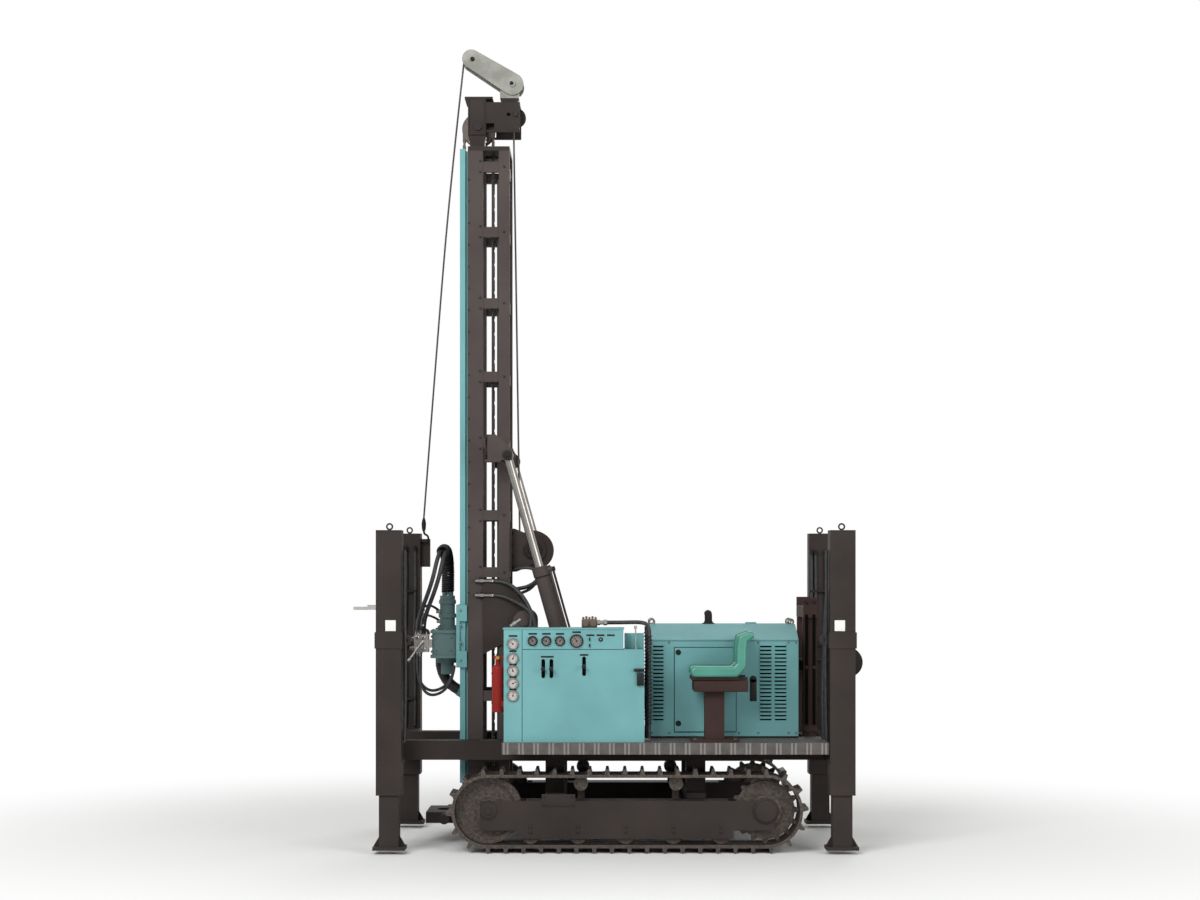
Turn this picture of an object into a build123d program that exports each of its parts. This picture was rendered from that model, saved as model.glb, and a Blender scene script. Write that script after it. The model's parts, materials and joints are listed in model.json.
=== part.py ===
"""Crawler water well drilling rig, parked on its tracks with the drilling mast raised.

+X points to the engine end, -X to the mast, -Y to the side with the console and the seat ("near"), +Z up.
The origin is on the ground under the middle of the machine. All sizes are in millimetres.
"""

import math
import os

from build123d import *

# Clearances
RUN_GAP = 0.3  # between pieces that turn or slide on each other
SWING_GAP = 6.0  # beside pieces that swing past each other

# Undercarriage
TRACK_CENTRE_Y = 700.0
TRACK_WIDTH = 300.0
TRACK_IDLER_X = -800.0
TRACK_SPROCKET_X = 1180.0
TRACK_WHEEL_RADIUS = 240.0
TRACK_BAND = 20.0
TRACK_LUG = 40.0
TRACK_SHOE_COUNT = 44
TRACK_HUB_Z = TRACK_WHEEL_RADIUS + TRACK_BAND + TRACK_LUG
TRACK_WALL = 15.0
TRACK_ROLLER_RADIUS = 70.0
TRACK_ROLLER_X = (-500.0, -160.0, 180.0, 520.0, 860.0)
CARRIER_ROLLER_RADIUS = 50.0
CARRIER_ROLLER_X = (-140.0, 540.0)
AXLE_BEAM_X = (-330.0, 690.0)
AXLE_BEAM = 140.0

# Chassis and deck
RAIL_Y = (400.0, 520.0)
RAIL_Z = (640.0, 780.0)
CROSSBEAM_X = ((-640.0, -480.0), (300.0, 420.0), (1300.0, 1420.0))
DECK_X = (-700.0, 1620.0)
DECK_HALF_WIDTH = 900.0
DECK_PLATE = 12.0
DECK_RIB = 10.0
DECK_TOP = RAIL_Z[1] + DECK_PLATE

# Jack legs
LEG_SIDE = 180.0
LEG_WALL = 12.0
LEG_FRONT_X = -1501.0
LEG_REAR_X = 1716.0
LEG_Y = 825.0
LEG_Z = (420.0, 2300.0)
LEG_COLLAR_Z = (1462.0, 1576.0)
LEG_COLLAR = 8.0
LEG_LUG_REACH = 32.0
LEG_LUG_RADIUS = 36.0
LEG_LUG_HOLE = 14.0
LEG_LUG_THICK = 40.0
JACK_SIDE = 140.0
JACK_TOP = 2200.0
JACK_FOOT = 230.0
JACK_FOOT_Z = (30.0, 54.0)
JACK_RIB = 14.0
JACK_RIB_TOP = 130.0
EYE_RING = 20.0
EYE_WIRE = 6.0

# Stowed on the legs
HOOK_BOX = 70.0
HOOK_BOX_Z = (2039.0, 2258.0)
LAMP_X = (1880.0, 1937.0)
LAMP_Z = (1760.0, 1812.0)
LAMP_WIDTH = 60.0
SPANNER_END = -1943.0
SPANNER_Z = (1702.0, 1727.0)
SPANNER_THICK = 24.0
SPANNER_JAW = 14.0

# Mast
MAST_HALF_WIDTH = 280.0
MAST_RAIL_X = (-978.0, -867.0)
MAST_RAIL_WIDTH = 80.0
MAST_CHORD_X = (-750.0, -671.0)
MAST_CHORD_WIDTH = 60.0
MAST_Z = (130.0, 5103.0)
MAST_SLEEVE = 6.0
MAST_SLEEVE_Z = (300.0, 1790.0)
CROSS_BAR_INSET = 10.0
STRUT_HEIGHT = 75.0
STRUT_WIDTH = 50.0
STRUT_Z = (250.0, 640.0, 1090.0, 1560.0, 2000.0, 2420.0, 2950.0, 3440.0, 3980.0, 4505.0, 4985.0)
GUIDE_X = (-1036.0, -997.0)
GUIDE_WIDTH = 90.0
GUIDE_WEB = 30.0
GUIDE_Z = (450.0, 5115.0)

# Mast pivot and tower
PIVOT_X = -561.0
PIVOT_Z = 1640.0
PIVOT_RADIUS = 35.0
PIVOT_EYE = 80.0
SWING_PLATE = 20.0
SWING_PLATE_Z = (1395.0, 1950.0)
TOWER_POST = 60.0
TOWER_X = (-640.0, -480.0)
TOWER_BRACE_X = -215.0
TOWER_BRACE_Z = (850.0, 1400.0)
TOWER_HOLE = (-400.0, 960.0)
TOWER_HOLE_RADIUS = 58.0

# Mast cylinders
CYLINDER_Y = 505.0
CYLINDER_BASE_X = -172.0
CYLINDER_BASE_Z = 1067.0
CYLINDER_EYE_X = -675.0
CYLINDER_EYE_Z = 2848.0
CYLINDER_FOLDED = 1069.0
CYLINDER_BARREL_RADIUS = 50.0
CYLINDER_ROD_RADIUS = 31.0
CYLINDER_GLAND = 840.0
CYLINDER_EYE_RADIUS = 44.0
CYLINDER_ROD_LENGTH = 940.0
CYLINDER_NECK = 100.0
CYLINDER_GLAND_LENGTH = 70.0
OIL_PIPE_OFFSET = 70.0
OIL_PIPE_RADIUS = 9.0
CYLINDER_PIN_RADIUS = 25.0
CYLINDER_EYE_WIDTH = 66.0
LUG_PLATE = 20.0

# Crown, feed chain and jib
CROWN_HALF_WIDTH = 150.0
CROWN_X = (-985.0, -850.0)
CROWN_Z = (5240.0, 5527.0)
CROWN_LIP = 24.0
CROWN_CAP = 32.0
CROWN_ARM_X = (-790.0, -600.0)
CROWN_ARM_Z = (5266.0, 5487.0)
CROWN_WEB_Z = 5330.0
CROWN_PLATE = 16.0
CROWN_SHEAVE = (-632.0, 5396.0)
CROWN_SHEAVE_RADIUS = 72.0
CROWN_SHEAVE_SHAFT = 18.0
CROWN_BOLT = (-684.0, 5396.0)
CROWN_BOLT_RADIUS = 14.0
JIB_SEAT = 62.0
JIB_SEAT_HEIGHT = 46.0
SPROCKET_X = -912.0
SPROCKET_TOP_Z = 5305.0
SPROCKET_FOOT_Z = 420.0
SPROCKET_RADIUS = 108.0
SPROCKET_FLANGE = 123.0
SPROCKET_RIM = 10.0
SPROCKET_SHAFT = 30.0
CHAIN_BAND = 7.0  # half the height of the inner plates
CHAIN_PLATE = 11.0  # half the height of the outer plates
CHAIN_WIDTH = 64.0
CHAIN_LINK_COUNT = 101
FEED_MOTOR_RADIUS = 62.0
FEED_MOTOR_LENGTH = 100.0
JIB_AXIS_X = -681.0
JIB_TIP = (-965.0, 5826.0)
JIB_BASE = (-658.0, 5637.0)
JIB_TIP_RADIUS = 68.0
JIB_BASE_RADIUS = 82.0
JIB_PLATE = 14.0
JIB_GAP = 130.0
JIB_SHEAVE_RADIUS = 58.0
JIB_PIN = 25.0

# Winch
WINCH_X = -502.0
WINCH_Z = 2163.0
WINCH_FLANGE = 147.0
WINCH_DRUM = 92.0
WINCH_HALF_WIDTH = 170.0
WINCH_PLATE = 14.0
WINCH_SHAFT = 30.0

# Rotary head
DRILL_X = -1147.0
HEAD_X = (-1252.0, -1062.0)
HEAD_Z = (1323.0, 1570.0)
HEAD_HALF_WIDTH = 165.0
HEAD_NECK = 40.0
HEAD_NECK_WALL = 32.0
HEAD_ROOF = 60.0
HEAD_LIP = 12.0
HEAD_FLANGE = 22.0
HEAD_CORNER = 40.0
MOTOR_RADIUS = 56.0
MOTOR_LENGTH = 254.0
MOTOR_TOP = HEAD_Z[1] + MOTOR_LENGTH
SPINDLE_RADIUS = 49.0
SPINDLE_BORE = 24.0
SPINDLE_FOOT = 1238.0
CARRIAGE_TONGUE = 24.0
CARRIAGE_Z = (1300.0, 1760.0)
CARRIAGE_LIP = 10.0
TABLE_Z = (150.0, 230.0)
TABLE_X = (-1290.0, -978.0)
TABLE_HALF_WIDTH = 240.0
TABLE_BORE = 75.0
TABLE_CLAMP = 110.0
TABLE_CLAMP_RADIUS = 38.0

# Console
CONSOLE_X = (-688.0, 312.0)
CONSOLE_STEP_X = 163.0
CONSOLE_Y = (-850.0, -600.0)
CONSOLE_TOP = 1605.0
CONSOLE_STEP_Z = 1453.0
CONSOLE_LID = 10.0
CONSOLE_LIP = 6.0
SLOT_DEPTH = 30.0
LEVER_REACH = 44.0
GAUGE_DEPTH = 16.0
GAUGE_RIM = 6.0
BOTTLE_RADIUS = 41.0
BOTTLE_GAP = 7.0
BOTTLE_Z = (1000.0, 1340.0)

# Engine hood
HOOD_X = (350.0, 1442.0)
HOOD_HALF_WIDTH = 435.0
HOOD_TOP = 1614.0
HOOD_SHOULDER = 1513.0
HOOD_SHOULDER_DEPTH = 300.0
HOOD_WALL = 6.0
LOUVRE_PITCH = 28.0
LOUVRE_SLOT = 15.0
LOUVRE_TOP = 1468.0
LOUVRE_FOOT = 900.0
LOUVRE_X = ((382.0, 458.0), (1162.0, 1245.0), (1270.0, 1353.0))
PANEL_X = (540.0, 985.0)
PANEL_Z = (840.0, 1450.0)
PANEL_LAP = 20.0
GRILLE_Y = (-300.0, 300.0)
HOOD_CAP_X = (1084.0, 1161.0)
HOOD_CAP_Y = (-45.0, 45.0)
HOOD_EYE_INSET = 30.0
HOOD_EYE_Y = 110.0
EXHAUST_X = 805.0
EXHAUST_RADIUS = 28.0
EXHAUST_WALL = 4.0
EXHAUST_REACH = 90.0
EXHAUST_TOP = 1716.0

# Seat; each row of the path is x, z and radius of its rolled edge, from the front lip to the top of the back
SEAT_Y = (-900.0, -480.0)
SEAT_PATH = (
    (676.0, 1296.0, 38.0), (955.0, 1296.0, 38.0), (998.0, 1340.0, 36.0),
    (1000.0, 1450.0, 36.0), (1008.0, 1528.0, 34.0), (1060.0, 1556.0, 28.0),
)
SEAT_EDGE = 62.0  # width of each rolled edge
SEAT_SHELL = 14.0  # half the thickness of the pan between them
SEAT_ROUND = 20.0
SEAT_SINK = 16.0  # how far the pan lies below the edges' middle
SEAT_FOOT = SEAT_PATH[0][1] - SEAT_PATH[0][2]
PEDESTAL_POST = 140.0
PEDESTAL_TRAY = 340.0
PEDESTAL_PLATE = 20.0

# Tanks on the far side
OIL_TANK_X = (-620.0, -20.0)
OIL_TANK_TOP = 1400.0
FUEL_TANK_X = (20.0, 320.0)
FUEL_TANK_TOP = 1300.0
TANK_DEPTH = 280.0
TANK_TO_CYLINDER = 105.0
TANK_CORNER = 40.0

# Mast rest
REST_X = (1489.0, 1593.0)
REST_TOP = 1745.0
REST_CHEEK_TOP = 1812.0
REST_POST = 80.0
REST_PLATE = 16.0
CLEANER = (1833.0, 1331.0)
CLEANER_RADIUS = 110.0
CLEANER_HALF = 150.0


# Plain shapes, placed by where they start and end
def block(x, y, z):
    """A block; x, y and z are each (low, high)."""
    centre = Pos((x[0] + x[1]) / 2, (y[0] + y[1]) / 2, (z[0] + z[1]) / 2)
    return centre * Box(x[1] - x[0], y[1] - y[0], z[1] - z[0])


def bar(start, end, radius):
    """A round bar between two points."""
    along = Vector(*end) - Vector(*start)
    ends = (Align.CENTER, Align.CENTER, Align.MIN)
    return Plane(origin=start, z_dir=along).location * Cylinder(radius, along.length, align=ends)


def bar_y(x, z, radius, y):
    """A round bar across the machine, from y[0] to y[1]."""
    return bar((x, y[0], z), (x, y[1], z), radius)


def slab_y(face, y):
    """An outline drawn in X and Z, made solid from y[0] to y[1]."""
    return extrude(Plane.XZ.offset(-y[0]) * face, amount=y[1] - y[0], dir=(0, 1, 0))


def slab_x(face, x):
    """An outline drawn in Y and Z, made solid from x[0] to x[1]."""
    return extrude(Plane.YZ.offset(x[0]) * face, amount=x[1] - x[0], dir=(1, 0, 0))


def slab_z(face, z):
    """An outline drawn in X and Y, made solid from z[0] to z[1]."""
    return extrude(Plane.XY.offset(z[0]) * face, amount=z[1] - z[0], dir=(0, 0, 1))


def link(first, first_radius, second, second_radius):
    """The outline of a plate with two round ends."""
    rounds = [Pos(*first) * Circle(first_radius), Pos(*second) * Circle(second_radius)]
    return make_hull(rounds[0].edges() + rounds[1].edges())


def far_copy(shape):
    """The same piece on the far side."""
    return mirror(shape, about=Plane.XZ)


def both_sides(shape):
    """A near piece and its far copy, as two solids."""
    return group(shape, far_copy(shape))


def group(*shapes):
    """Separate solids kept in one node."""
    return Compound([solid for shape in shapes for solid in shape.solids()])


def weld(shapes):
    """Pieces welded into one solid."""
    first, *rest = shapes
    return first.fuse(*rest).clean() if rest else first


# Undercarriage
def stadium(radius):
    """The outline of a loop round the idler and the sprocket, in X and Z."""
    ends = ((TRACK_IDLER_X, TRACK_HUB_Z), radius, (TRACK_SPROCKET_X, TRACK_HUB_Z), radius)
    return link(*ends)


def loop_places(first, second, radius, count):
    """Places spaced evenly round a loop about two wheels: (u, v, angle of the outward normal)."""
    run = math.dist(first, second)
    heading = math.atan2(second[1] - first[1], second[0] - first[0])
    turn = math.pi * radius
    spots = []
    for step in range(count):
        along = step * 2 * (run + turn) / count
        side, along = divmod(along, run + turn)
        start = first if side == 0 else second
        direction = heading + math.pi * side
        normal = direction - math.pi / 2
        if along > run:
            normal += (along - run) / radius
            start = second if side == 0 else first
            along = 0.0
        u = start[0] + along * math.cos(direction) + radius * math.cos(normal)
        v = start[1] + along * math.sin(direction) + radius * math.sin(normal)
        spots.append((u, v, math.degrees(normal)))
    return spots


def track():
    """The near track: a band with a grouser bar on each shoe."""
    band_radius = TRACK_WHEEL_RADIUS + TRACK_BAND
    near = (-TRACK_CENTRE_Y - TRACK_WIDTH / 2, -TRACK_CENTRE_Y + TRACK_WIDTH / 2)
    band = slab_y(stadium(band_radius) - stadium(TRACK_WHEEL_RADIUS), near)
    hubs = (TRACK_IDLER_X, TRACK_HUB_Z), (TRACK_SPROCKET_X, TRACK_HUB_Z)
    rooted = TRACK_LUG + TRACK_BAND / 2
    grouser = Polygon((0, -19), (rooted, -9), (rooted, 9), (0, 19))
    bars = []
    for u, v, turn in loop_places(*hubs, band_radius - TRACK_BAND / 2, TRACK_SHOE_COUNT):
        bars.append(slab_y(Pos(u, v) * Rot(0, 0, turn) * grouser, near))
    return weld([band] + bars)


def track_frame():
    """The near side frame: a beam open below over the rollers, with cheeks out to idler and sprocket."""
    half = 100.0
    outer = (-TRACK_CENTRE_Y - half, -TRACK_CENTRE_Y + half)
    inner = (outer[0] + TRACK_WALL, outer[1] - TRACK_WALL)
    roller_z = TRACK_HUB_Z - TRACK_WHEEL_RADIUS + TRACK_ROLLER_RADIUS
    foot = roller_z - 30.0
    roof = TRACK_HUB_Z + 70.0
    well_top = roller_z + TRACK_ROLLER_RADIUS + 15.0
    wheel_room = TRACK_WHEEL_RADIUS + 25.0
    beam = block((TRACK_IDLER_X - 60.0, TRACK_SPROCKET_X + 60.0), outer, (foot + 60.0, roof))
    beam += block((TRACK_ROLLER_X[0] - 90.0, TRACK_ROLLER_X[-1] + 90.0), outer, (foot, roof))
    beam -= block((TRACK_ROLLER_X[0] - 500.0, TRACK_ROLLER_X[-1] + 500.0), inner, (foot, well_top))
    for hub in (TRACK_IDLER_X, TRACK_SPROCKET_X):
        beam -= bar_y(hub, TRACK_HUB_Z, wheel_room, inner)
        beam -= block((hub - wheel_room, hub + wheel_room), inner, (TRACK_HUB_Z, roof))
    for x in CARRIER_ROLLER_X:
        beam += block((x - 25.0, x + 25.0), (outer[1] - 40.0, outer[1]), (roof, roof + 110.0))
    return beam


def wheel(x, z, radius, half, core):
    """A track wheel with a raised rim guide, on its shaft."""
    rim = bar_y(x, z, radius, (-TRACK_CENTRE_Y - half, -TRACK_CENTRE_Y + half))
    shaft = bar_y(x, z, core, (-TRACK_CENTRE_Y - 85.0, -TRACK_CENTRE_Y + 85.0))
    return rim + shaft


def track_rollers():
    """Idler, toothed sprocket with its drive hub, track rollers and carrier rollers of the near side."""
    near = -TRACK_CENTRE_Y
    idler = wheel(TRACK_IDLER_X, TRACK_HUB_Z, TRACK_WHEEL_RADIUS - 1.0, 45.0, 45.0)
    idler -= bar_y(TRACK_IDLER_X, TRACK_HUB_Z, TRACK_WHEEL_RADIUS - 40.0, (near - 45.0, near - 25.0))
    idler += bar_y(TRACK_IDLER_X, TRACK_HUB_Z, 70.0, (near - 85.0, near - 25.0))
    sprocket = wheel(TRACK_SPROCKET_X, TRACK_HUB_Z, TRACK_WHEEL_RADIUS - 30.0, 30.0, 110.0)
    for tooth in range(16):
        turn = tooth * 360.0 / 16
        shape = Polygon((0, -34), (60, -10), (60, 10), (0, 34))
        spot = Pos(TRACK_SPROCKET_X, TRACK_HUB_Z) * Rot(0, 0, turn) * Pos(TRACK_WHEEL_RADIUS - 61.0, 0)
        sprocket += slab_y(spot * shape, (near - 20.0, near + 20.0))
    pieces = [idler, sprocket]
    low_z = TRACK_HUB_Z - TRACK_WHEEL_RADIUS + TRACK_ROLLER_RADIUS
    for x in TRACK_ROLLER_X:
        pieces.append(wheel(x, low_z, TRACK_ROLLER_RADIUS - 0.5, 70.0, 28.0))
    high_z = TRACK_HUB_Z + TRACK_WHEEL_RADIUS - CARRIER_ROLLER_RADIUS
    for x in CARRIER_ROLLER_X:
        pieces.append(bar_y(x, high_z, CARRIER_ROLLER_RADIUS - 0.5, (near - 60.0, near + 60.0)))
    return group(*pieces)


# Chassis
def chassis_frame():
    """Two long rails, cross beams, axle beams down to the side frames and arms out to the jack legs."""
    half = LEG_SIDE / 2
    ends = (LEG_FRONT_X - half, LEG_REAR_X + half)
    leg_face = LEG_Y - half
    near_rail = (-RAIL_Y[1], -RAIL_Y[0])
    pieces = [block(ends, near_rail, RAIL_Z)]
    for x in (LEG_FRONT_X, LEG_REAR_X):
        pieces.append(block((x - half, x + half), (-leg_face, -RAIL_Y[1]), RAIL_Z))
    axle_z = (TRACK_HUB_Z, TRACK_HUB_Z + 110.0)
    for x in AXLE_BEAM_X:
        span = (x - AXLE_BEAM / 2, x + AXLE_BEAM / 2)
        pieces.append(block(span, near_rail, (axle_z[0], RAIL_Z[0])))
        pieces.append(block(span, (-TRACK_CENTRE_Y + 100.0, 0), axle_z))
    for span in CROSSBEAM_X:
        pieces.append(block(span, (-RAIL_Y[0], 0), RAIL_Z))
    return weld(pieces + [far_copy(piece) for piece in pieces])


def deck():
    """The chequer plate deck, open at the front for the mast, on ribs beside the rails."""
    plate_z = (RAIL_Z[1], DECK_TOP)
    plate = block(DECK_X, (-DECK_HALF_WIDTH, DECK_HALF_WIDTH), plate_z)
    plate -= block((DECK_X[0], CROSSBEAM_X[0][1]), (-RAIL_Y[0], RAIL_Y[0]), plate_z)
    skirts = [plate]
    for side in (-1, 1):
        edge = sorted((side * (DECK_HALF_WIDTH - DECK_RIB), side * DECK_HALF_WIDTH))
        skirts.append(block(DECK_X, edge, (RAIL_Z[1] - 70.0, RAIL_Z[1])))
        for step in range(5):
            x = DECK_X[0] + 160.0 + step * 500.0
            reach = sorted((side * RAIL_Y[1], side * (DECK_HALF_WIDTH - DECK_RIB)))
            skirts.append(block((x, x + DECK_RIB), reach, (RAIL_Z[1] - 60.0, RAIL_Z[1])))
    return weld(skirts)


# Jack legs
def leg_box(x, inward):
    """A near jack leg: square tube with a capped top, guide collar at the foot, and a lug facing inward."""
    half = LEG_SIDE / 2
    core = half - LEG_WALL
    slide = JACK_SIDE / 2 + RUN_GAP
    lug_z = (LEG_COLLAR_Z[0] + LEG_COLLAR_Z[1]) / 2
    face = x + inward * half
    hole = (face + inward * LEG_LUG_REACH, lug_z)

    def square(size, z):
        return block((x - size, x + size), (-LEG_Y - size, -LEG_Y + size), z)

    lug_y = (-LEG_Y - LEG_LUG_THICK / 2, -LEG_Y + LEG_LUG_THICK / 2)
    lug = slab_y(link((face, lug_z), LEG_LUG_RADIUS, hole, LEG_LUG_RADIUS), lug_y)
    eye_z = LEG_Z[1] + EYE_RING + EYE_WIRE
    ring = Pos(x, -LEG_Y, eye_z) * Rot(90, 0, 0) * Torus(EYE_RING, EYE_WIRE)
    stud = bar((x, -LEG_Y, LEG_Z[1]), (x, -LEG_Y, LEG_Z[1] + EYE_WIRE), 2 * EYE_WIRE)
    leg = square(half, LEG_Z) + square(half + LEG_COLLAR, LEG_COLLAR_Z) + lug
    leg -= bar_y(*hole, LEG_LUG_HOLE, lug_y)
    leg -= square(core, (LEG_Z[0], LEG_Z[1] - LEG_WALL))
    guide_z = (LEG_Z[0], LEG_Z[0] + LEG_SIDE / 2)
    return leg + (square(core, guide_z) - square(slide, guide_z)) + stud + ring


def hook_bracket():
    """The box on the far front leg that the hoist hook hangs from."""
    face = LEG_FRONT_X + LEG_SIDE / 2
    return block((face, face + HOOK_BOX), (LEG_Y - HOOK_BOX / 2, LEG_Y + HOOK_BOX / 2), HOOK_BOX_Z)


def leg_jack(x):
    """The sliding square ram of a near jack leg, with its foot plate."""
    half = JACK_SIDE / 2
    foot = JACK_FOOT / 2
    ram = block((x - half, x + half), (-LEG_Y - half, -LEG_Y + half), (JACK_FOOT_Z[1], JACK_TOP))
    pad_y = (-LEG_Y - LEG_SIDE / 2, -LEG_Y + LEG_SIDE / 2)
    pad = block((x - foot, x + foot), pad_y, JACK_FOOT_Z)
    low, top = JACK_FOOT_Z[1], JACK_RIB_TOP
    rib = Polygon((x - foot, low), (x + foot, low), (x + half, top), (x - half, top))
    return weld([ram, pad, slab_y(rib, (-LEG_Y - JACK_RIB / 2, -LEG_Y + JACK_RIB / 2))])


# Mast pivot
def tower_inside():
    """The half width between the tower posts."""
    return MAST_HALF_WIDTH + SWING_PLATE + SWING_GAP


def mast_tower():
    """A near post with its brace, and the pin that the mast swings on."""
    inner = tower_inside()
    y = (-inner - TOWER_POST, -inner)
    eye = PIVOT_EYE
    left, right = TOWER_X
    toe_z, head_z = TOWER_BRACE_Z
    post = Polygon((left, RAIL_Z[1]), (right, RAIL_Z[1]), (right, PIVOT_Z), (left, PIVOT_Z))
    brace = Polygon((right, DECK_TOP), (TOWER_BRACE_X, DECK_TOP), (TOWER_BRACE_X, toe_z), (right, head_z))
    outline = post + brace + Pos(PIVOT_X, PIVOT_Z) * Circle(eye)
    outline -= Pos(*TOWER_HOLE) * Circle(TOWER_HOLE_RADIUS)
    pin = bar_y(PIVOT_X, PIVOT_Z, PIVOT_RADIUS, (y[0] - 14.0, -MAST_HALF_WIDTH + 4.0))
    return slab_y(outline, y) + pin


def swing_plate():
    """A near quarter-round side plate of the mast, bored for the pivot pin."""
    left = MAST_RAIL_X[1]
    low, high = SWING_PLATE_Z
    corners = Polygon((left, low), (left, high), (left + 127.0, high), (left + 177.0, high - 20.0))
    eye = Pos(PIVOT_X, PIVOT_Z) * Circle(PIVOT_EYE - 5.0)
    outline = make_hull(corners.edges() + eye.edges())
    outline -= Pos(PIVOT_X, PIVOT_Z) * Circle(PIVOT_RADIUS + RUN_GAP)
    return slab_y(outline, (-MAST_HALF_WIDTH - SWING_PLATE, -MAST_HALF_WIDTH))


# Mast
def mast_frame():
    """The welded mast: two front rails, two rear chords, struts, cross bars and the cylinder brackets."""
    out = -MAST_HALF_WIDTH
    rail = block(MAST_RAIL_X, (out, out + MAST_RAIL_WIDTH), MAST_Z)
    chord = block(MAST_CHORD_X, (out, out + MAST_CHORD_WIDTH), MAST_Z)
    pieces = [rail, chord]
    pieces.append(block(MAST_RAIL_X, (out - MAST_SLEEVE, out), MAST_SLEEVE_Z))
    mid = out + MAST_CHORD_WIDTH / 2
    strut_y = (mid - STRUT_WIDTH / 2, mid + STRUT_WIDTH / 2)
    cross_x = (MAST_CHORD_X[0] + CROSS_BAR_INSET, MAST_CHORD_X[1] - CROSS_BAR_INSET)
    for z in STRUT_Z:
        height = (z - STRUT_HEIGHT / 2, z + STRUT_HEIGHT / 2)
        pieces.append(block((MAST_RAIL_X[1], MAST_CHORD_X[0]), strut_y, height))
        pieces.append(block(cross_x, (out + MAST_CHORD_WIDTH, 0), height))
    face = -CYLINDER_Y + CYLINDER_EYE_WIDTH / 2 + 12.0
    arm_z = (CYLINDER_EYE_Z - 20.0, CYLINDER_EYE_Z + 95.0)
    pieces.append(block(MAST_CHORD_X, (face + LUG_PLATE, out), arm_z))
    root = (MAST_CHORD_X[0] + 30.0, CYLINDER_EYE_Z + 40.0)
    lug = link(root, 60.0, (CYLINDER_EYE_X, CYLINDER_EYE_Z), 56.0)
    pieces.append(slab_y(lug, (face, face + LUG_PLATE)))
    return weld(pieces + [far_copy(piece) for piece in pieces])


def mast_guide():
    """A near guide bar of T section on the front rail."""
    web = GUIDE_WEB / 2
    centre = -MAST_HALF_WIDTH + GUIDE_WIDTH / 2
    flange = block(GUIDE_X, (centre - GUIDE_WIDTH / 2, centre + GUIDE_WIDTH / 2), GUIDE_Z)
    foot_z = (GUIDE_Z[0], MAST_Z[1])
    return flange + block((GUIDE_X[1], MAST_RAIL_X[0]), (centre - web, centre + web), foot_z)


# Feed chain and crown
def crown_outline():
    """A crown side plate: box over the feed wheel, arm back to the jib, foot tapered to the mast's cap."""
    left, right = CROWN_X
    low, top = CROWN_Z
    inner, outer = CROWN_ARM_X
    foot = MAST_Z[1] + CROWN_CAP
    box = [(left, top), (right, top), (right, CROWN_ARM_Z[1]), (outer, CROWN_ARM_Z[1])]
    arm = [(outer, CROWN_ARM_Z[0]), (inner, CROWN_ARM_Z[0]), (inner, CROWN_WEB_Z), (right, CROWN_WEB_Z)]
    neck = [(right, low), (right - CROWN_LIP, foot), (left + CROWN_LIP, foot), (left, low)]
    outline = Polygon(*box, *arm, *neck)
    return outline - Pos(*CROWN_BOLT) * Circle(CROWN_BOLT_RADIUS)


def crown():
    """The mast's cap and the crown block over it, with the rope sheave in its arm and the jib's seat."""
    half = CROWN_HALF_WIDTH
    cap_z = (MAST_Z[1], MAST_Z[1] + CROWN_CAP)
    left, right = CROWN_X
    cap = block((MAST_RAIL_X[0], MAST_CHORD_X[1]), (-MAST_HALF_WIDTH, MAST_HALF_WIDTH), cap_z)
    rear_run = SPROCKET_X + SPROCKET_RADIUS
    cap -= block((rear_run - CHAIN_WIDTH, rear_run + CHAIN_WIDTH), (-CHAIN_WIDTH, CHAIN_WIDTH), cap_z)
    pieces = [cap]
    for y in ((-half, CROWN_PLATE - half), (half - CROWN_PLATE, half)):
        pieces.append(slab_y(crown_outline(), y))
    for y in ((-half - CROWN_PLATE, -half), (half, half + CROWN_PLATE)):
        pieces.append(bar_y(SPROCKET_X, SPROCKET_TOP_Z, SPROCKET_SHAFT, y))
    top_z = (CROWN_Z[1] - CROWN_PLATE, CROWN_Z[1])
    arm_z = (CROWN_ARM_Z[1] - CROWN_PLATE, CROWN_ARM_Z[1])
    pieces.append(block((left - CROWN_LIP, right + 2 * CROWN_LIP), (-half, half), top_z))
    pieces.append(block((right, CROWN_ARM_X[1]), (-half, half), arm_z))
    pieces.append(bar_y(*CROWN_SHEAVE, CROWN_SHEAVE_SHAFT, (-half - CROWN_PLATE, half + CROWN_PLATE)))
    seat_x = (JIB_AXIS_X - JIB_SEAT, JIB_AXIS_X + JIB_SEAT)
    pieces.append(block(seat_x, (-JIB_GAP / 2, JIB_GAP / 2), (CROWN_ARM_Z[1], jib_foot())))
    bore = bar((JIB_AXIS_X, 0, arm_z[0]), (JIB_AXIS_X, 0, jib_foot()), JIB_PIN + RUN_GAP)
    rope_sheave = sheave(*CROWN_SHEAVE, CROWN_SHEAVE_RADIUS, 16.0, CROWN_SHEAVE_SHAFT)
    return group(weld(pieces) - bore, rope_sheave)


def feed_wheel(z, shaft):
    """A flanged chain wheel on its shaft, across the mast."""
    half = CHAIN_WIDTH / 2
    rim = half + SPROCKET_RIM
    pieces = [bar_y(SPROCKET_X, z, SPROCKET_RADIUS - CHAIN_PLATE, (-half, half))]
    for y in ((-rim, -half), (half, rim)):
        pieces.append(bar_y(SPROCKET_X, z, SPROCKET_FLANGE, y))
    return weld(pieces + [bar_y(SPROCKET_X, z, SPROCKET_SHAFT, (-shaft, shaft))])


def feed_sprockets():
    """The crown wheel, the foot wheel between the rails, and the feed motor on the far rail."""
    top = feed_wheel(SPROCKET_TOP_Z, CROWN_HALF_WIDTH - CROWN_PLATE)
    foot = feed_wheel(SPROCKET_FOOT_Z, MAST_HALF_WIDTH - MAST_RAIL_WIDTH)
    face = MAST_HALF_WIDTH + MAST_SLEEVE
    motor = bar_y(SPROCKET_X, SPROCKET_FOOT_Z, FEED_MOTOR_RADIUS, (face, face + FEED_MOTOR_LENGTH))
    return group(top, foot, motor)


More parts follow.
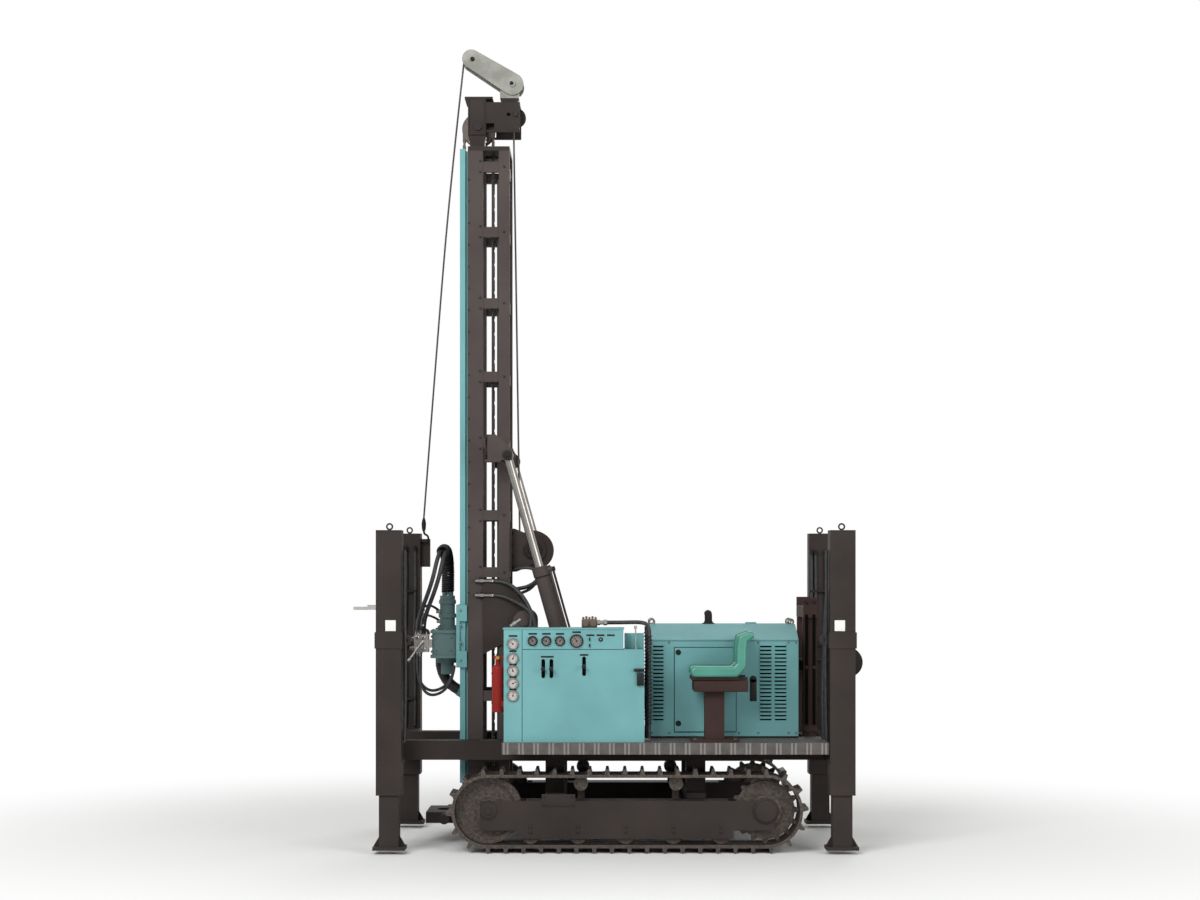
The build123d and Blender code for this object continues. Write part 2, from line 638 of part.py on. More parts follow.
def feed_chain():
    """The feed chain: a band of inner plates with an outer link standing proud at every second pitch."""
    ends = (SPROCKET_X, SPROCKET_FOOT_Z), (SPROCKET_X, SPROCKET_TOP_Z)
    across = (-CHAIN_WIDTH / 2, CHAIN_WIDTH / 2)

    def loop(radius):
        return link(ends[0], radius, ends[1], radius)

    band = slab_y(loop(SPROCKET_RADIUS + CHAIN_BAND) - loop(SPROCKET_RADIUS - CHAIN_BAND), across)
    run = 2 * (math.dist(*ends) + math.pi * SPROCKET_RADIUS)
    plate = Rectangle(2 * CHAIN_PLATE, 0.75 * run / CHAIN_LINK_COUNT)
    plates = []
    for u, v, turn in loop_places(*ends, SPROCKET_RADIUS, CHAIN_LINK_COUNT):
        plates.append(slab_y(Pos(u, v) * Rot(0, 0, turn) * plate, across))
    return weld([band] + plates)


# Jib
def jib_foot():
    """The height of the seat that the jib turns on."""
    return CROWN_ARM_Z[1] + JIB_SEAT_HEIGHT


def jib():
    """Two rounded plates on a turntable, with pins at both ends."""
    gap = JIB_GAP / 2
    outline = link(JIB_TIP, JIB_TIP_RADIUS, JIB_BASE, JIB_BASE_RADIUS)
    pieces = [slab_y(outline, (-gap - JIB_PLATE, -gap)), slab_y(outline, (gap, gap + JIB_PLATE))]
    for point, radius in ((JIB_TIP, 20.0), (JIB_BASE, 24.0)):
        pieces.append(bar_y(*point, radius, (-gap - JIB_PLATE - 10.0, gap + JIB_PLATE + 10.0)))
    foot = jib_foot() + RUN_GAP
    low = (JIB_AXIS_X, 0, CROWN_ARM_Z[1] - CROWN_PLATE)
    pieces.append(block((JIB_AXIS_X - 70.0, JIB_AXIS_X + 70.0), (-gap, gap), (foot, foot + 60.0)))
    pieces.append(bar(low, (JIB_AXIS_X, 0, foot + 20.0), JIB_PIN))
    return weld(pieces)


def sheave(x, z, radius, half, shaft):
    """A rope sheave turned about its shaft, with a hub and a V groove."""
    hub, reach, bore = shaft + 14.0, half + 20.0, shaft + RUN_GAP / 2
    rim = [(hub, half), (radius, half), (radius - half, 0), (radius, -half), (hub, -half)]
    section = Polygon((bore, reach), (hub, reach), *rim, (hub, -reach), (bore, -reach))
    return Pos(x, 0, z) * revolve(section, axis=Axis.Y)


def jib_sheave():
    """The sheave at the jib's tip."""
    return sheave(*JIB_TIP, JIB_SHEAVE_RADIUS, 16.0, 20.0)


# Winch
def winch_frame():
    """The winch's back plate and side plates, with the hydraulic motor on the far one."""
    half = WINCH_HALF_WIDTH
    back_x = (MAST_CHORD_X[1], MAST_CHORD_X[1] + WINCH_PLATE)
    z = (WINCH_Z - 160.0, WINCH_Z + 160.0)
    pieces = [block(back_x, (-MAST_HALF_WIDTH + 10.0, MAST_HALF_WIDTH - 10.0), z)]
    edge = Polygon((back_x[1], z[0]), (back_x[1], z[1]), (back_x[1] + 20.0, z[1]), (back_x[1] + 20.0, z[0]))
    ear = Pos(WINCH_X, WINCH_Z) * Circle(95.0)
    outline = make_hull(edge.edges() + ear.edges()) - Pos(WINCH_X, WINCH_Z) * Circle(WINCH_SHAFT + RUN_GAP)
    for y in ((-half - WINCH_PLATE, -half), (half, half + WINCH_PLATE)):
        pieces.append(slab_y(outline, y))
    motor = bar_y(WINCH_X, WINCH_Z, 78.0, (half + WINCH_PLATE, half + WINCH_PLATE + 90.0))
    return weld(pieces + [motor])


def winch_drum():
    """The rope drum with two flanges, on its shaft."""
    half = WINCH_HALF_WIDTH - SWING_GAP
    bearing = WINCH_HALF_WIDTH + WINCH_PLATE
    pieces = [bar_y(WINCH_X, WINCH_Z, WINCH_DRUM, (-half, half))]
    for y in ((-half, WINCH_PLATE - half), (half - WINCH_PLATE, half)):
        pieces.append(bar_y(WINCH_X, WINCH_Z, WINCH_FLANGE, y))
    return weld(pieces + [bar_y(WINCH_X, WINCH_Z, WINCH_SHAFT, (-bearing, bearing - RUN_GAP))])


# Mast cylinders
def along_cylinder(distance, y=-CYLINDER_Y):
    """The point on a near cylinder's line that lies this far from its base pin."""
    run = (CYLINDER_EYE_X - CYLINDER_BASE_X, CYLINDER_EYE_Z - CYLINDER_BASE_Z)
    share = distance / math.hypot(*run)
    return CYLINDER_BASE_X + share * run[0], y, CYLINDER_BASE_Z + share * run[1]


def cylinder_length():
    """The length from pin to pin with the mast raised."""
    return math.hypot(CYLINDER_EYE_X - CYLINDER_BASE_X, CYLINDER_EYE_Z - CYLINDER_BASE_Z)


def eye_span():
    """The near cylinder eyes, across the machine."""
    return -CYLINDER_Y - CYLINDER_EYE_WIDTH / 2, -CYLINDER_Y + CYLINDER_EYE_WIDTH / 2


def cylinder_clevis():
    """Two plates on the deck with the base pin of the near cylinder."""
    inner, outer = eye_span()
    plates = []
    base = (CYLINDER_BASE_X, CYLINDER_BASE_Z)
    foot = Polygon((base[0] - 110.0, DECK_TOP), (base[0] + 110.0, DECK_TOP), (base[0], DECK_TOP + 30.0))
    outline = make_hull(foot.edges() + (Pos(*base) * Circle(55.0)).edges())
    for y in ((inner - LUG_PLATE - 2.0, inner - 2.0), (outer + 2.0, outer + 2.0 + LUG_PLATE)):
        plates.append(slab_y(outline, y))
    pin = bar_y(*base, CYLINDER_PIN_RADIUS, (inner - LUG_PLATE - 10.0, outer + LUG_PLATE + 10.0))
    return weld(plates + [pin])


def beside_cylinder(distance, offset):
    """A point beside the near cylinder's line, on its engine side."""
    x, y, z = along_cylinder(distance)
    length = cylinder_length()
    across = (CYLINDER_EYE_Z - CYLINDER_BASE_Z) / length, (CYLINDER_BASE_X - CYLINDER_EYE_X) / length
    return x + offset * across[0], y, z + offset * across[1]


def cylinder_barrel():
    """The near barrel: base eye, bored tube, gland and the oil pipe along its back."""
    gland = cylinder_length() - CYLINDER_GLAND
    base = along_cylinder(0)
    radius = CYLINDER_BARREL_RADIUS
    pipe_ends = (2 * CYLINDER_NECK, gland - CYLINDER_GLAND_LENGTH / 2)
    pieces = [bar(base, along_cylinder(CYLINDER_NECK), CYLINDER_ROD_RADIUS)]
    pieces.append(bar(along_cylinder(CYLINDER_NECK - 15.0), along_cylinder(gland), radius))
    pieces.append(bar(along_cylinder(gland - CYLINDER_GLAND_LENGTH), along_cylinder(gland), radius + 7.0))
    pieces.append(bar_y(base[0], base[2], CYLINDER_EYE_RADIUS + 8.0, eye_span()))
    pieces.append(bar(*[beside_cylinder(end, OIL_PIPE_OFFSET) for end in pipe_ends], OIL_PIPE_RADIUS))
    for end in pipe_ends:
        port = beside_cylinder(end, OIL_PIPE_OFFSET + 2 * OIL_PIPE_RADIUS)
        pieces.append(bar(along_cylinder(end), port, 2 * OIL_PIPE_RADIUS))
    tube = weld(pieces)
    floor = CYLINDER_FOLDED - CYLINDER_ROD_LENGTH - SWING_GAP
    tube -= bar(along_cylinder(floor), along_cylinder(gland - 60.0), radius - 10.0)
    tube -= bar(along_cylinder(gland - 80.0), along_cylinder(gland), CYLINDER_ROD_RADIUS + RUN_GAP)
    return tube - bar_y(base[0], base[2], CYLINDER_PIN_RADIUS + RUN_GAP, eye_span())


def cylinder_rod():
    """The near rod with its eye, and the pin that reaches in to the mast's lug."""
    length = cylinder_length()
    inner, outer = eye_span()
    rod = bar(along_cylinder(length - CYLINDER_ROD_LENGTH), along_cylinder(length), CYLINDER_ROD_RADIUS)
    rod += bar_y(CYLINDER_EYE_X, CYLINDER_EYE_Z, CYLINDER_EYE_RADIUS, (inner, outer))
    pin_y = (inner - 8.0, outer + 12.0 - 2 * RUN_GAP)
    return rod + bar_y(CYLINDER_EYE_X, CYLINDER_EYE_Z, CYLINDER_PIN_RADIUS, pin_y)


# Hoses: each row of a route is x, y, z
HOSE_RADIUS = 16.0
AIR_HOSE_RADIUS = 39.0
HEAD_HOSE_ROUTE = (
    (-1125, 40, 1850), (-1125, 56, 1917), (-1125, 67, 1985), (-1127, 56, 2054), (-1130, 17, 2112),
    (-1134, -41, 2151), (-1140, -110, 2165), (-1148, -179, 2151), (-1158, -237, 2112), (-1170, -276, 2054),
    (-1184, -291, 1985), (-1204, -290, 1915), (-1228, -279, 1846), (-1255, -256, 1779), (-1281, -222, 1716),
    (-1301, -180, 1658), (-1313, -134, 1606), (-1317, -90, 1556),
)
SECOND_HOSE_STEP = (-44, 0, -3)
AIR_HOSE_ROUTE = (
    (-1205, 112, 1363), (-1205, 112, 1302), (-1190, 112, 1242),
    (-1161, 112, 1188), (-1119, 112, 1144), (-1070, 112, 1113),
)


def second_hose_route():
    """The second head hose runs beside the first."""
    return [tuple(at + step for at, step in zip(point, SECOND_HOSE_STEP)) for point in HEAD_HOSE_ROUTE]


def bend_radii(route):
    """Each corner's arc, as large as its two runs allow."""
    radii = []
    for before, point, after in zip(route, route[1:], route[2:]):
        first, second = Vector(*point) - Vector(*before), Vector(*after) - Vector(*point)
        half_turn = math.radians(first.get_angle(second)) / 2
        radii.append(0.45 * min(first.length, second.length) / math.tan(half_turn))
    return radii


def hose(route, radius):
    """A plain tube along a route, with an arc at each corner."""
    path = FilletPolyline(*route, radius=bend_radii(route))
    start = Plane(origin=route[0], z_dir=Vector(*route[1]) - Vector(*route[0]))
    return sweep(start * Circle(radius), path=path)


def fitting(end, before, radius, length, start=0.0):
    """A ferrule that takes a hose's end and carries on along its line."""
    along = (Vector(*end) - Vector(*before)).normalized()
    low, high = Vector(*end) + along * start, Vector(*end) + along * length
    return bar(tuple(low), tuple(high), radius)


# Rotary head
def head_gearbox():
    """The gearbox: a rounded case with a flange above and below, bored for the spindle."""
    low, high = HEAD_Z[0] + HEAD_NECK, HEAD_Z[1]
    back = HEAD_X[1]

    def tier(lip, z):
        front, half = HEAD_X[0] - lip, HEAD_HALF_WIDTH + lip
        return slab_z(Pos((front + back) / 2, 0) * RectangleRounded(back - front, 2 * half, HEAD_CORNER), z)

    case = [tier(0, (low, high))]
    for z in ((low, low + HEAD_FLANGE), (high - HEAD_FLANGE, high)):
        case.append(tier(HEAD_LIP, z))
    case.append(bar((DRILL_X, 0, HEAD_Z[0]), (DRILL_X, 0, high), SPINDLE_RADIUS + HEAD_NECK_WALL))
    bore_top = (DRILL_X, 0, high - HEAD_ROOF)
    return weld(case) - bar((DRILL_X, 0, HEAD_Z[0]), bore_top, SPINDLE_RADIUS + RUN_GAP)


def head_motor():
    """The hydraulic motor on top of the gearbox."""
    top = (DRILL_X, 0, MOTOR_TOP)
    motor = bar((DRILL_X, 0, HEAD_Z[1]), top, MOTOR_RADIUS)
    for z, radius in ((HEAD_Z[1], 74.0), (HEAD_Z[1] + 90.0, 66.0), (MOTOR_TOP - 60.0, 64.0)):
        motor += bar((DRILL_X, 0, z), (DRILL_X, 0, z + 26.0), radius)
    for route in (HEAD_HOSE_ROUTE, second_hose_route()):
        motor += fitting(route[0], route[1], HOSE_RADIUS + 4.0, route[0][2] - MOTOR_TOP + 24.0)
    return motor


def head_spindle():
    """The hollow spindle that drives the drill rods."""
    top = HEAD_Z[1] - HEAD_ROOF - RUN_GAP
    spindle = bar((DRILL_X, 0, SPINDLE_FOOT), (DRILL_X, 0, top), SPINDLE_RADIUS)
    return spindle - bar((DRILL_X, 0, SPINDLE_FOOT), (DRILL_X, 0, SPINDLE_FOOT + 150.0), SPINDLE_BORE)


def head_carriage():
    """The sliding plate behind the gearbox, hooked round both guide bars."""
    front = (HEAD_X[1], GUIDE_X[0] - RUN_GAP)
    reach = MAST_HALF_WIDTH + 5.0
    plate = block(front, (-reach - 20.0, reach + 20.0), CARRIAGE_Z)
    lip_x = (GUIDE_X[1] + 4.0, GUIDE_X[1] + 4.0 + CARRIAGE_LIP)
    for z in ((CARRIAGE_Z[0], CARRIAGE_Z[0] + 120.0), (CARRIAGE_Z[1] - 120.0, CARRIAGE_Z[1])):
        for side in (-1, 1):
            cheek = sorted((side * reach, side * (reach + 20.0)))
            lip = sorted((side * (reach - 25.0), side * (reach + 20.0)))
            plate += block((front[1], lip_x[1]), cheek, z)
            plate += block(lip_x, lip, z)
    end, before = AIR_HOSE_ROUTE[-1], AIR_HOSE_ROUTE[-2]
    tongue_y = (end[1] - 50.0, end[1] + 50.0)
    tongue_z = (CARRIAGE_Z[0] - 240.0, CARRIAGE_Z[0] + 80.0)
    plate += block((front[1], front[1] + CARRIAGE_TONGUE), tongue_y, tongue_z)
    return plate + fitting(end, before, AIR_HOSE_RADIUS + 4.0, 46.0)


def head_manifold():
    """The valve block that stands off the gearbox's front, with its lever."""
    arm = block((-1300.0, HEAD_X[0]), (-130.0, -70.0), (1440.0, 1500.0))
    body = block((-1384.0, -1278.0), (-150.0, -50.0), (1407.0, 1537.0))
    lever = bar((-1317.0, -140.0, 1470.0), (-1317.0, -215.0, 1490.0), 8.0)
    for route in (HEAD_HOSE_ROUTE, second_hose_route()):
        body += fitting(route[-1], route[-2], HOSE_RADIUS + 4.0, 50.0)
    return body + arm + lever


def rod_table():
    """The rod table at the mast's foot, bored on the drill line, with a clamp cylinder on each side."""
    middle_z = (TABLE_Z[0] + TABLE_Z[1]) / 2
    ends = TABLE_HALF_WIDTH + TABLE_CLAMP
    pieces = [block(TABLE_X, (-TABLE_HALF_WIDTH, TABLE_HALF_WIDTH), TABLE_Z)]
    for y in ((-ends, -TABLE_HALF_WIDTH), (TABLE_HALF_WIDTH, ends)):
        pieces.append(bar_y(DRILL_X, middle_z, TABLE_CLAMP_RADIUS, y))
    return weld(pieces) - bar((DRILL_X, 0, TABLE_Z[0]), (DRILL_X, 0, TABLE_Z[1]), TABLE_BORE)


# Console side
def console():
    """The control cabinet, stepped at its right end."""
    outline = Polygon(
        (CONSOLE_X[0], DECK_TOP), (CONSOLE_X[1], DECK_TOP), (CONSOLE_X[1], CONSOLE_STEP_Z),
        (CONSOLE_STEP_X, CONSOLE_STEP_Z), (CONSOLE_STEP_X, CONSOLE_TOP), (CONSOLE_X[0], CONSOLE_TOP),
    )
    lid_x = (CONSOLE_X[0] - CONSOLE_LIP, CONSOLE_STEP_X + CONSOLE_LIP)
    lid_y = (CONSOLE_Y[0] - CONSOLE_LIP, CONSOLE_Y[1])
    cabinet = slab_y(outline, CONSOLE_Y) + block(lid_x, lid_y, (CONSOLE_TOP - CONSOLE_LID, CONSOLE_TOP))
    for x0, x1, z0, z1 in LEVER_SLOTS:
        cabinet -= block((x0, x1), (CONSOLE_Y[0], CONSOLE_Y[0] + SLOT_DEPTH), (z0, z1))
    return cabinet


# Each row: left, right, bottom and top of a lever slot in the console's face
LEVER_SLOTS = (
    (-420.0, -394.0, 1262.0, 1372.0), (-362.0, -336.0, 1262.0, 1372.0), (-130.0, -104.0, 1278.0, 1390.0),
)

# Each row: x, z and radius of a gauge on the console's face
GAUGES = (
    (-622.0, 1492.0, 40.0), (-622.0, 1388.0, 40.0), (-622.0, 1300.0, 40.0), (-622.0, 1212.0, 40.0),
    (-622.0, 1124.0, 40.0),
    (-482.0, 1513.0, 34.0), (-385.0, 1513.0, 34.0), (-288.0, 1513.0, 34.0), (-170.0, 1513.0, 46.0),
)


def console_gauges():
    """Round gauges on the console's face."""
    face = CONSOLE_Y[0]
    dials = []
    for x, z, radius in GAUGES:
        case = bar_y(x, z, radius, (face - GAUGE_DEPTH, face))
        recess_y = (face - GAUGE_DEPTH, face - GAUGE_DEPTH + GAUGE_RIM)
        dials.append(case - bar_y(x, z, radius - GAUGE_RIM, recess_y))
    return group(*dials)


def console_levers():
    """Levers in their slots."""
    levers = []
    for x0, x1, z0, z1 in LEVER_SLOTS:
        x, z = (x0 + x1) / 2, (z0 + z1) / 2
        knob_y = CONSOLE_Y[0] - LEVER_REACH
        levers.append(bar_y(x, z, 6.0, (knob_y, CONSOLE_Y[0] + SLOT_DEPTH)) + Pos(x, knob_y, z) * Sphere(11.0))
    return group(*levers)


def air_lubricator():
    """The oil pot of the air line on the console, and its pipe down to the step."""
    y = (-700.0, -640.0)
    pot = block((-147.0, 60.0), y, (CONSOLE_TOP, CONSOLE_TOP + 66.0))
    mid = (y[0] + y[1]) / 2
    pipe_z = CONSOLE_TOP + 38.0
    drop_x = 250.0
    pipe = bar((60.0, mid, pipe_z), (drop_x + 14.0, mid, pipe_z), 14.0)
    return pot + pipe + bar((drop_x, mid, CONSOLE_STEP_Z), (drop_x, mid, pipe_z), 14.0)


def extinguisher():
    """The fire extinguisher clipped to the console's left side."""
    x, y = CONSOLE_X[0] - BOTTLE_GAP - BOTTLE_RADIUS, (CONSOLE_Y[0] + CONSOLE_Y[1]) / 2
    low, shoulder = BOTTLE_Z
    neck = shoulder + BOTTLE_RADIUS
    bottle = bar((x, y, low), (x, y, shoulder), BOTTLE_RADIUS)
    bottle = fillet(bottle.edges().filter_by(GeomType.CIRCLE).group_by(Axis.Z)[-1], 0.7 * BOTTLE_RADIUS)
    grip = block((x - 30.0, x + 40.0), (y - 10.0, y + 10.0), (neck, neck + 22.0))
    clip_z = (low + BOTTLE_RADIUS, low + 2 * BOTTLE_RADIUS)
    clip = block((x, CONSOLE_X[0]), (y - 30.0, y + 30.0), clip_z)
    return weld([bottle, bar((x, y, low + 20.0), (x, y, neck), 17.0), grip, clip])


def seat_strip(rows, y):
    """A bent strip from y[0] to y[1]; each row is x, z and half the thickness there."""
    runs = []
    for (x, z, radius), (next_x, next_z, next_radius) in zip(rows, rows[1:]):
        runs.append(slab_y(link((x, z), radius, (next_x, next_z), next_radius), y))
    return weld(runs)


def seat():
    """The moulded seat: a thin pan sunk between two rolled edges that follow the same bent path."""
    near, far = SEAT_Y
    pan = [(x + SEAT_SINK, z - SEAT_SINK, SEAT_SHELL) for x, z, _ in SEAT_PATH]
    edges = []
    for y in ((near, near + SEAT_EDGE), (far - SEAT_EDGE, far)):
        edge = seat_strip(SEAT_PATH, y)
        edges.append(fillet(edge.faces().filter_by(Axis.Y).edges(), SEAT_ROUND))
    return weld(edges + [seat_strip(pan, (near + SEAT_EDGE / 2, far - SEAT_EDGE / 2))])


def seat_pedestal():
    """The seat's post on the deck and the tray that the seat is bolted to."""
    x, y = (SEAT_PATH[0][0] + SEAT_PATH[1][0]) / 2, (SEAT_Y[0] + SEAT_Y[1]) / 2
    post, tray = PEDESTAL_POST / 2, PEDESTAL_TRAY / 2
    foot_z, tray_z = (DECK_TOP, SEAT_FOOT - PEDESTAL_PLATE), (SEAT_FOOT - PEDESTAL_PLATE, SEAT_FOOT)
    pieces = [block((x - post, x + post), (y - post, y + post), foot_z)]
    pieces.append(block((x - tray, x + tray), (y - tray, y + tray), tray_z))
    pieces.append(block((x - tray, x + tray), (y - tray, y + tray), (DECK_TOP, DECK_TOP + PEDESTAL_PLATE)))
    return weld(pieces)


# Engine end
def hood_outline(inset):
    """The hood's section across the machine."""
    half = HOOD_HALF_WIDTH - inset
    ridge = HOOD_HALF_WIDTH - HOOD_SHOULDER_DEPTH
    shoulder, top = HOOD_SHOULDER - inset / 2, HOOD_TOP - inset
    near = [(-half, DECK_TOP), (-half, shoulder), (-ridge, top)]
    return Polygon(*near, *[(-y, z) for y, z in reversed(near)])


def engine_hood():
    """The hollow hood: louvred sides with access openings, rear grille, lifting eyes and filler cap."""
    low, high = HOOD_X
    shell = slab_x(hood_outline(0), HOOD_X)
    shell -= slab_x(hood_outline(HOOD_WALL), (low + HOOD_WALL, high - HOOD_WALL))
    reach = (-HOOD_HALF_WIDTH, HOOD_HALF_WIDTH)
    access_x = (PANEL_X[0] + PANEL_LAP, PANEL_X[1] - PANEL_LAP)
    access_z = (PANEL_Z[0] + PANEL_LAP, PANEL_Z[1] - PANEL_LAP)
    shell -= block(access_x, reach, access_z)
    slots = []
    for row in range(int((LOUVRE_TOP - LOUVRE_FOOT) // LOUVRE_PITCH)):
        top = LOUVRE_TOP - row * LOUVRE_PITCH
        slots += [block(x, reach, (top - LOUVRE_SLOT, top)) for x in LOUVRE_X]
        if row % 2 == 0:
            slots.append(block((high - HOOD_WALL, high), GRILLE_Y, (top - 2 * LOUVRE_SLOT, top)))
    shell = shell.cut(*slots)
    eye_z = HOOD_TOP - HOOD_WALL / 2 + EYE_RING
    fixed = [block(HOOD_CAP_X, HOOD_CAP_Y, (HOOD_TOP, HOOD_TOP + 2 * HOOD_WALL))]
    for x in (low + HOOD_EYE_INSET, high - HOOD_EYE_INSET):
        for y in (-HOOD_EYE_Y, HOOD_EYE_Y):
            fixed.append(Pos(x, y, eye_z) * Rot(90, 0, 0) * Torus(EYE_RING, EYE_WIRE))
    return weld([shell] + fixed)


def hood_panel_near():
    """The lift-off access panel on the near side."""
    return block(PANEL_X, (-HOOD_HALF_WIDTH - HOOD_WALL, -HOOD_HALF_WIDTH), PANEL_Z)


def hood_door_far():
    """The hinged access door on the far side."""
    inner = HOOD_HALF_WIDTH + RUN_GAP
    door = block(PANEL_X, (inner, inner + HOOD_WALL), PANEL_Z)
    hinge = (PANEL_X[1] + 8.0, inner + HOOD_WALL + 4.0)
    for z in (PANEL_Z[0] + 60.0, PANEL_Z[1] - 160.0):
        leaf_y = (inner + HOOD_WALL, inner + HOOD_WALL + 8.0)
        leaf = block((PANEL_X[1] - 40.0, hinge[0]), leaf_y, (z, z + 100.0))
        door += leaf + bar((*hinge, z), (*hinge, z + 100.0), 8.0)
    return door


def engine_block():
    """The diesel engine, as one block."""
    return block((480.0, 1280.0), (-300.0, 300.0), (DECK_TOP, 1400.0))


def exhaust():
    """The exhaust stub on the hood, bent away from the console side, open at its mouth."""
    bend_z = EXHAUST_TOP - EXHAUST_RADIUS
    mouth = (EXHAUST_X, EXHAUST_REACH, bend_z)
    route = ((EXHAUST_X, 0, HOOD_TOP), (EXHAUST_X, 0, bend_z), mouth)
    path = FilletPolyline(*route, radius=1.4 * EXHAUST_RADIUS)
    pipe = sweep(Plane(origin=route[0], z_dir=(0, 0, 1)) * Circle(EXHAUST_RADIUS), path=path)
    return pipe - bar((EXHAUST_X, EXHAUST_REACH / 2, bend_z), mouth, EXHAUST_RADIUS - EXHAUST_WALL)


def tank(x, top, filler):
    """A tank on the far side of the deck with rounded corners and a filler of this radius."""
    inner = CYLINDER_Y + TANK_TO_CYLINDER
    y = (inner, inner + TANK_DEPTH)
    shell = block(x, y, (DECK_TOP, top))
    neck = ((x[0] + x[1]) / 2, (y[0] + y[1]) / 2)
    shell = fillet(shell.edges().filter_by(Axis.Z), TANK_CORNER)
    return shell + bar((*neck, top), (*neck, top + filler), filler)


def mast_rest():
    """The rear frame that the folded mast lies on, with a cheek on each side of its cradle."""
    half = MAST_HALF_WIDTH
    inner = half - REST_POST
    cheek = half + SWING_GAP
    cross_y = (-inner, inner)
    pieces = []
    for side in (-1, 1):
        outer = side * (cheek + REST_PLATE)
        pieces.append(block(REST_X, sorted((side * inner, side * half)), (DECK_TOP, REST_TOP)))
        pieces.append(block(REST_X, sorted((side * half, outer)), (REST_TOP - REST_POST, REST_TOP)))
        pieces.append(block(REST_X, sorted((side * cheek, outer)), (REST_TOP, REST_CHEEK_TOP)))
    for top in (REST_TOP, CLEANER[1] + REST_PLATE):
        pieces.append(block(REST_X, cross_y, (top - REST_POST, top)))
    return weld(pieces)


def air_cleaner():
    """The intake air cleaner on the rest frame."""
    x, z = CLEANER
    drum = bar_y(x, z, CLEANER_RADIUS, (-CLEANER_HALF, CLEANER_HALF))
    arm = block((REST_X[1], x), (-CLEANER_HALF / 3, CLEANER_HALF / 3), (z - REST_PLATE, z + REST_PLATE))
    return weld([drum, arm])


def rear_lamp():
    """The work lamp on the far rear leg."""
    face = LEG_REAR_X + LEG_SIDE / 2
    back, front = LAMP_X
    low, top = LAMP_Z
    third = (top - low) / 3
    shell = Polygon((back, low + third / 2), (front, low), (front, top), (back, low + 2 * third))
    arm_y = (LEG_Y - LAMP_WIDTH / 8, LEG_Y + LAMP_WIDTH / 8)
    arm = block((face, back), arm_y, (low + third / 2, low + 1.5 * third))
    return weld([slab_y(shell, (LEG_Y - LAMP_WIDTH / 2, LEG_Y + LAMP_WIDTH / 2)), arm])


def rod_spanner():
    """The long fork spanner stowed on the far front leg."""
    face = LEG_FRONT_X - LEG_SIDE / 2
    y = (LEG_Y - SPANNER_THICK / 2, LEG_Y + SPANNER_THICK / 2)
    jaw_x = (SPANNER_END + 110.0, SPANNER_END + 200.0)
    shank = block((SPANNER_END, face), y, SPANNER_Z)
    return weld([shank, block(jaw_x, y, (SPANNER_Z[1], SPANNER_Z[1] + SPANNER_JAW))])


# Every node by name
LEGS = (("front", LEG_FRONT_X, 1), ("rear", LEG_REAR_X, -1))


def nodes():
    """All nodes of the rig, by name."""
    parts = {
        "chassis_frame": chassis_frame(),
        "deck": deck(),
        "track_near": track(),
        "track_far": far_copy(track()),
        "track_frames": both_sides(track_frame()),
        "track_rollers": both_sides(track_rollers()),
        "mast_tower": both_sides(mast_tower()),
        "cylinder_clevises": both_sides(cylinder_clevis()),
        "cylinder_barrels": both_sides(cylinder_barrel()),
        "cylinder_rods": both_sides(cylinder_rod()),
        "mast_frame": mast_frame(),
        "mast_guides": both_sides(mast_guide()),
        "swing_plates": both_sides(swing_plate()),
        "crown": crown(),
        "feed_sprockets": feed_sprockets(),
        "feed_chain": feed_chain(),
        "jib": jib(),
        "jib_sheave": jib_sheave(),
        "winch_frame": winch_frame(),
        "winch_drum": winch_drum(),
        "head_gearbox": head_gearbox(),
        "head_motor": head_motor(),
        "head_spindle": head_spindle(),
        "head_carriage": head_carriage(),
        "head_manifold": head_manifold(),
        "rod_table": rod_table(),
        "head_hose_first": hose(HEAD_HOSE_ROUTE, HOSE_RADIUS),
        "head_hose_second": hose(second_hose_route(), HOSE_RADIUS),
        "air_hose": hose(AIR_HOSE_ROUTE, AIR_HOSE_RADIUS),
        "console": console(),
        "console_gauges": console_gauges(),
        "console_levers": console_levers(),
        "air_lubricator": air_lubricator(),
        "extinguisher": extinguisher(),
        "seat": seat(),
        "seat_pedestal": seat_pedestal(),
        "engine_hood": engine_hood(),
        "hood_panel_near": hood_panel_near(),
        "hood_door_far": hood_door_far(),
        "engine_block": engine_block(),
        "exhaust": exhaust(),
        "oil_tank": tank(OIL_TANK_X, OIL_TANK_TOP, 44.0),
        "fuel_tank": tank(FUEL_TANK_X, FUEL_TANK_TOP, 38.0),
        "mast_rest": mast_rest(),
        "air_cleaner": air_cleaner(),
        "rear_lamp": rear_lamp(),
        "rod_spanner": rod_spanner(),
    }
    for place, x, inward in LEGS:
        box, ram = leg_box(x, inward), leg_jack(x)
        parts[f"leg_box_{place}_near"], parts[f"leg_jack_{place}_near"] = box, ram
        parts[f"leg_box_{place}_far"], parts[f"leg_jack_{place}_far"] = far_copy(box), far_copy(ram)
    parts["leg_box_front_far"] = parts["leg_box_front_far"] + hook_bracket()
    return parts


os.makedirs("parts", exist_ok=True)
for name, shape in nodes().items():
    export_step(shape, f"parts/{name}.step")
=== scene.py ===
"""Looks of the crawler water well drilling rig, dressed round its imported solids.

The frame is in metres and pieces are made in millimetres; +Z is up, -Y the console side, -X the mast's end.
"""
import json
import math

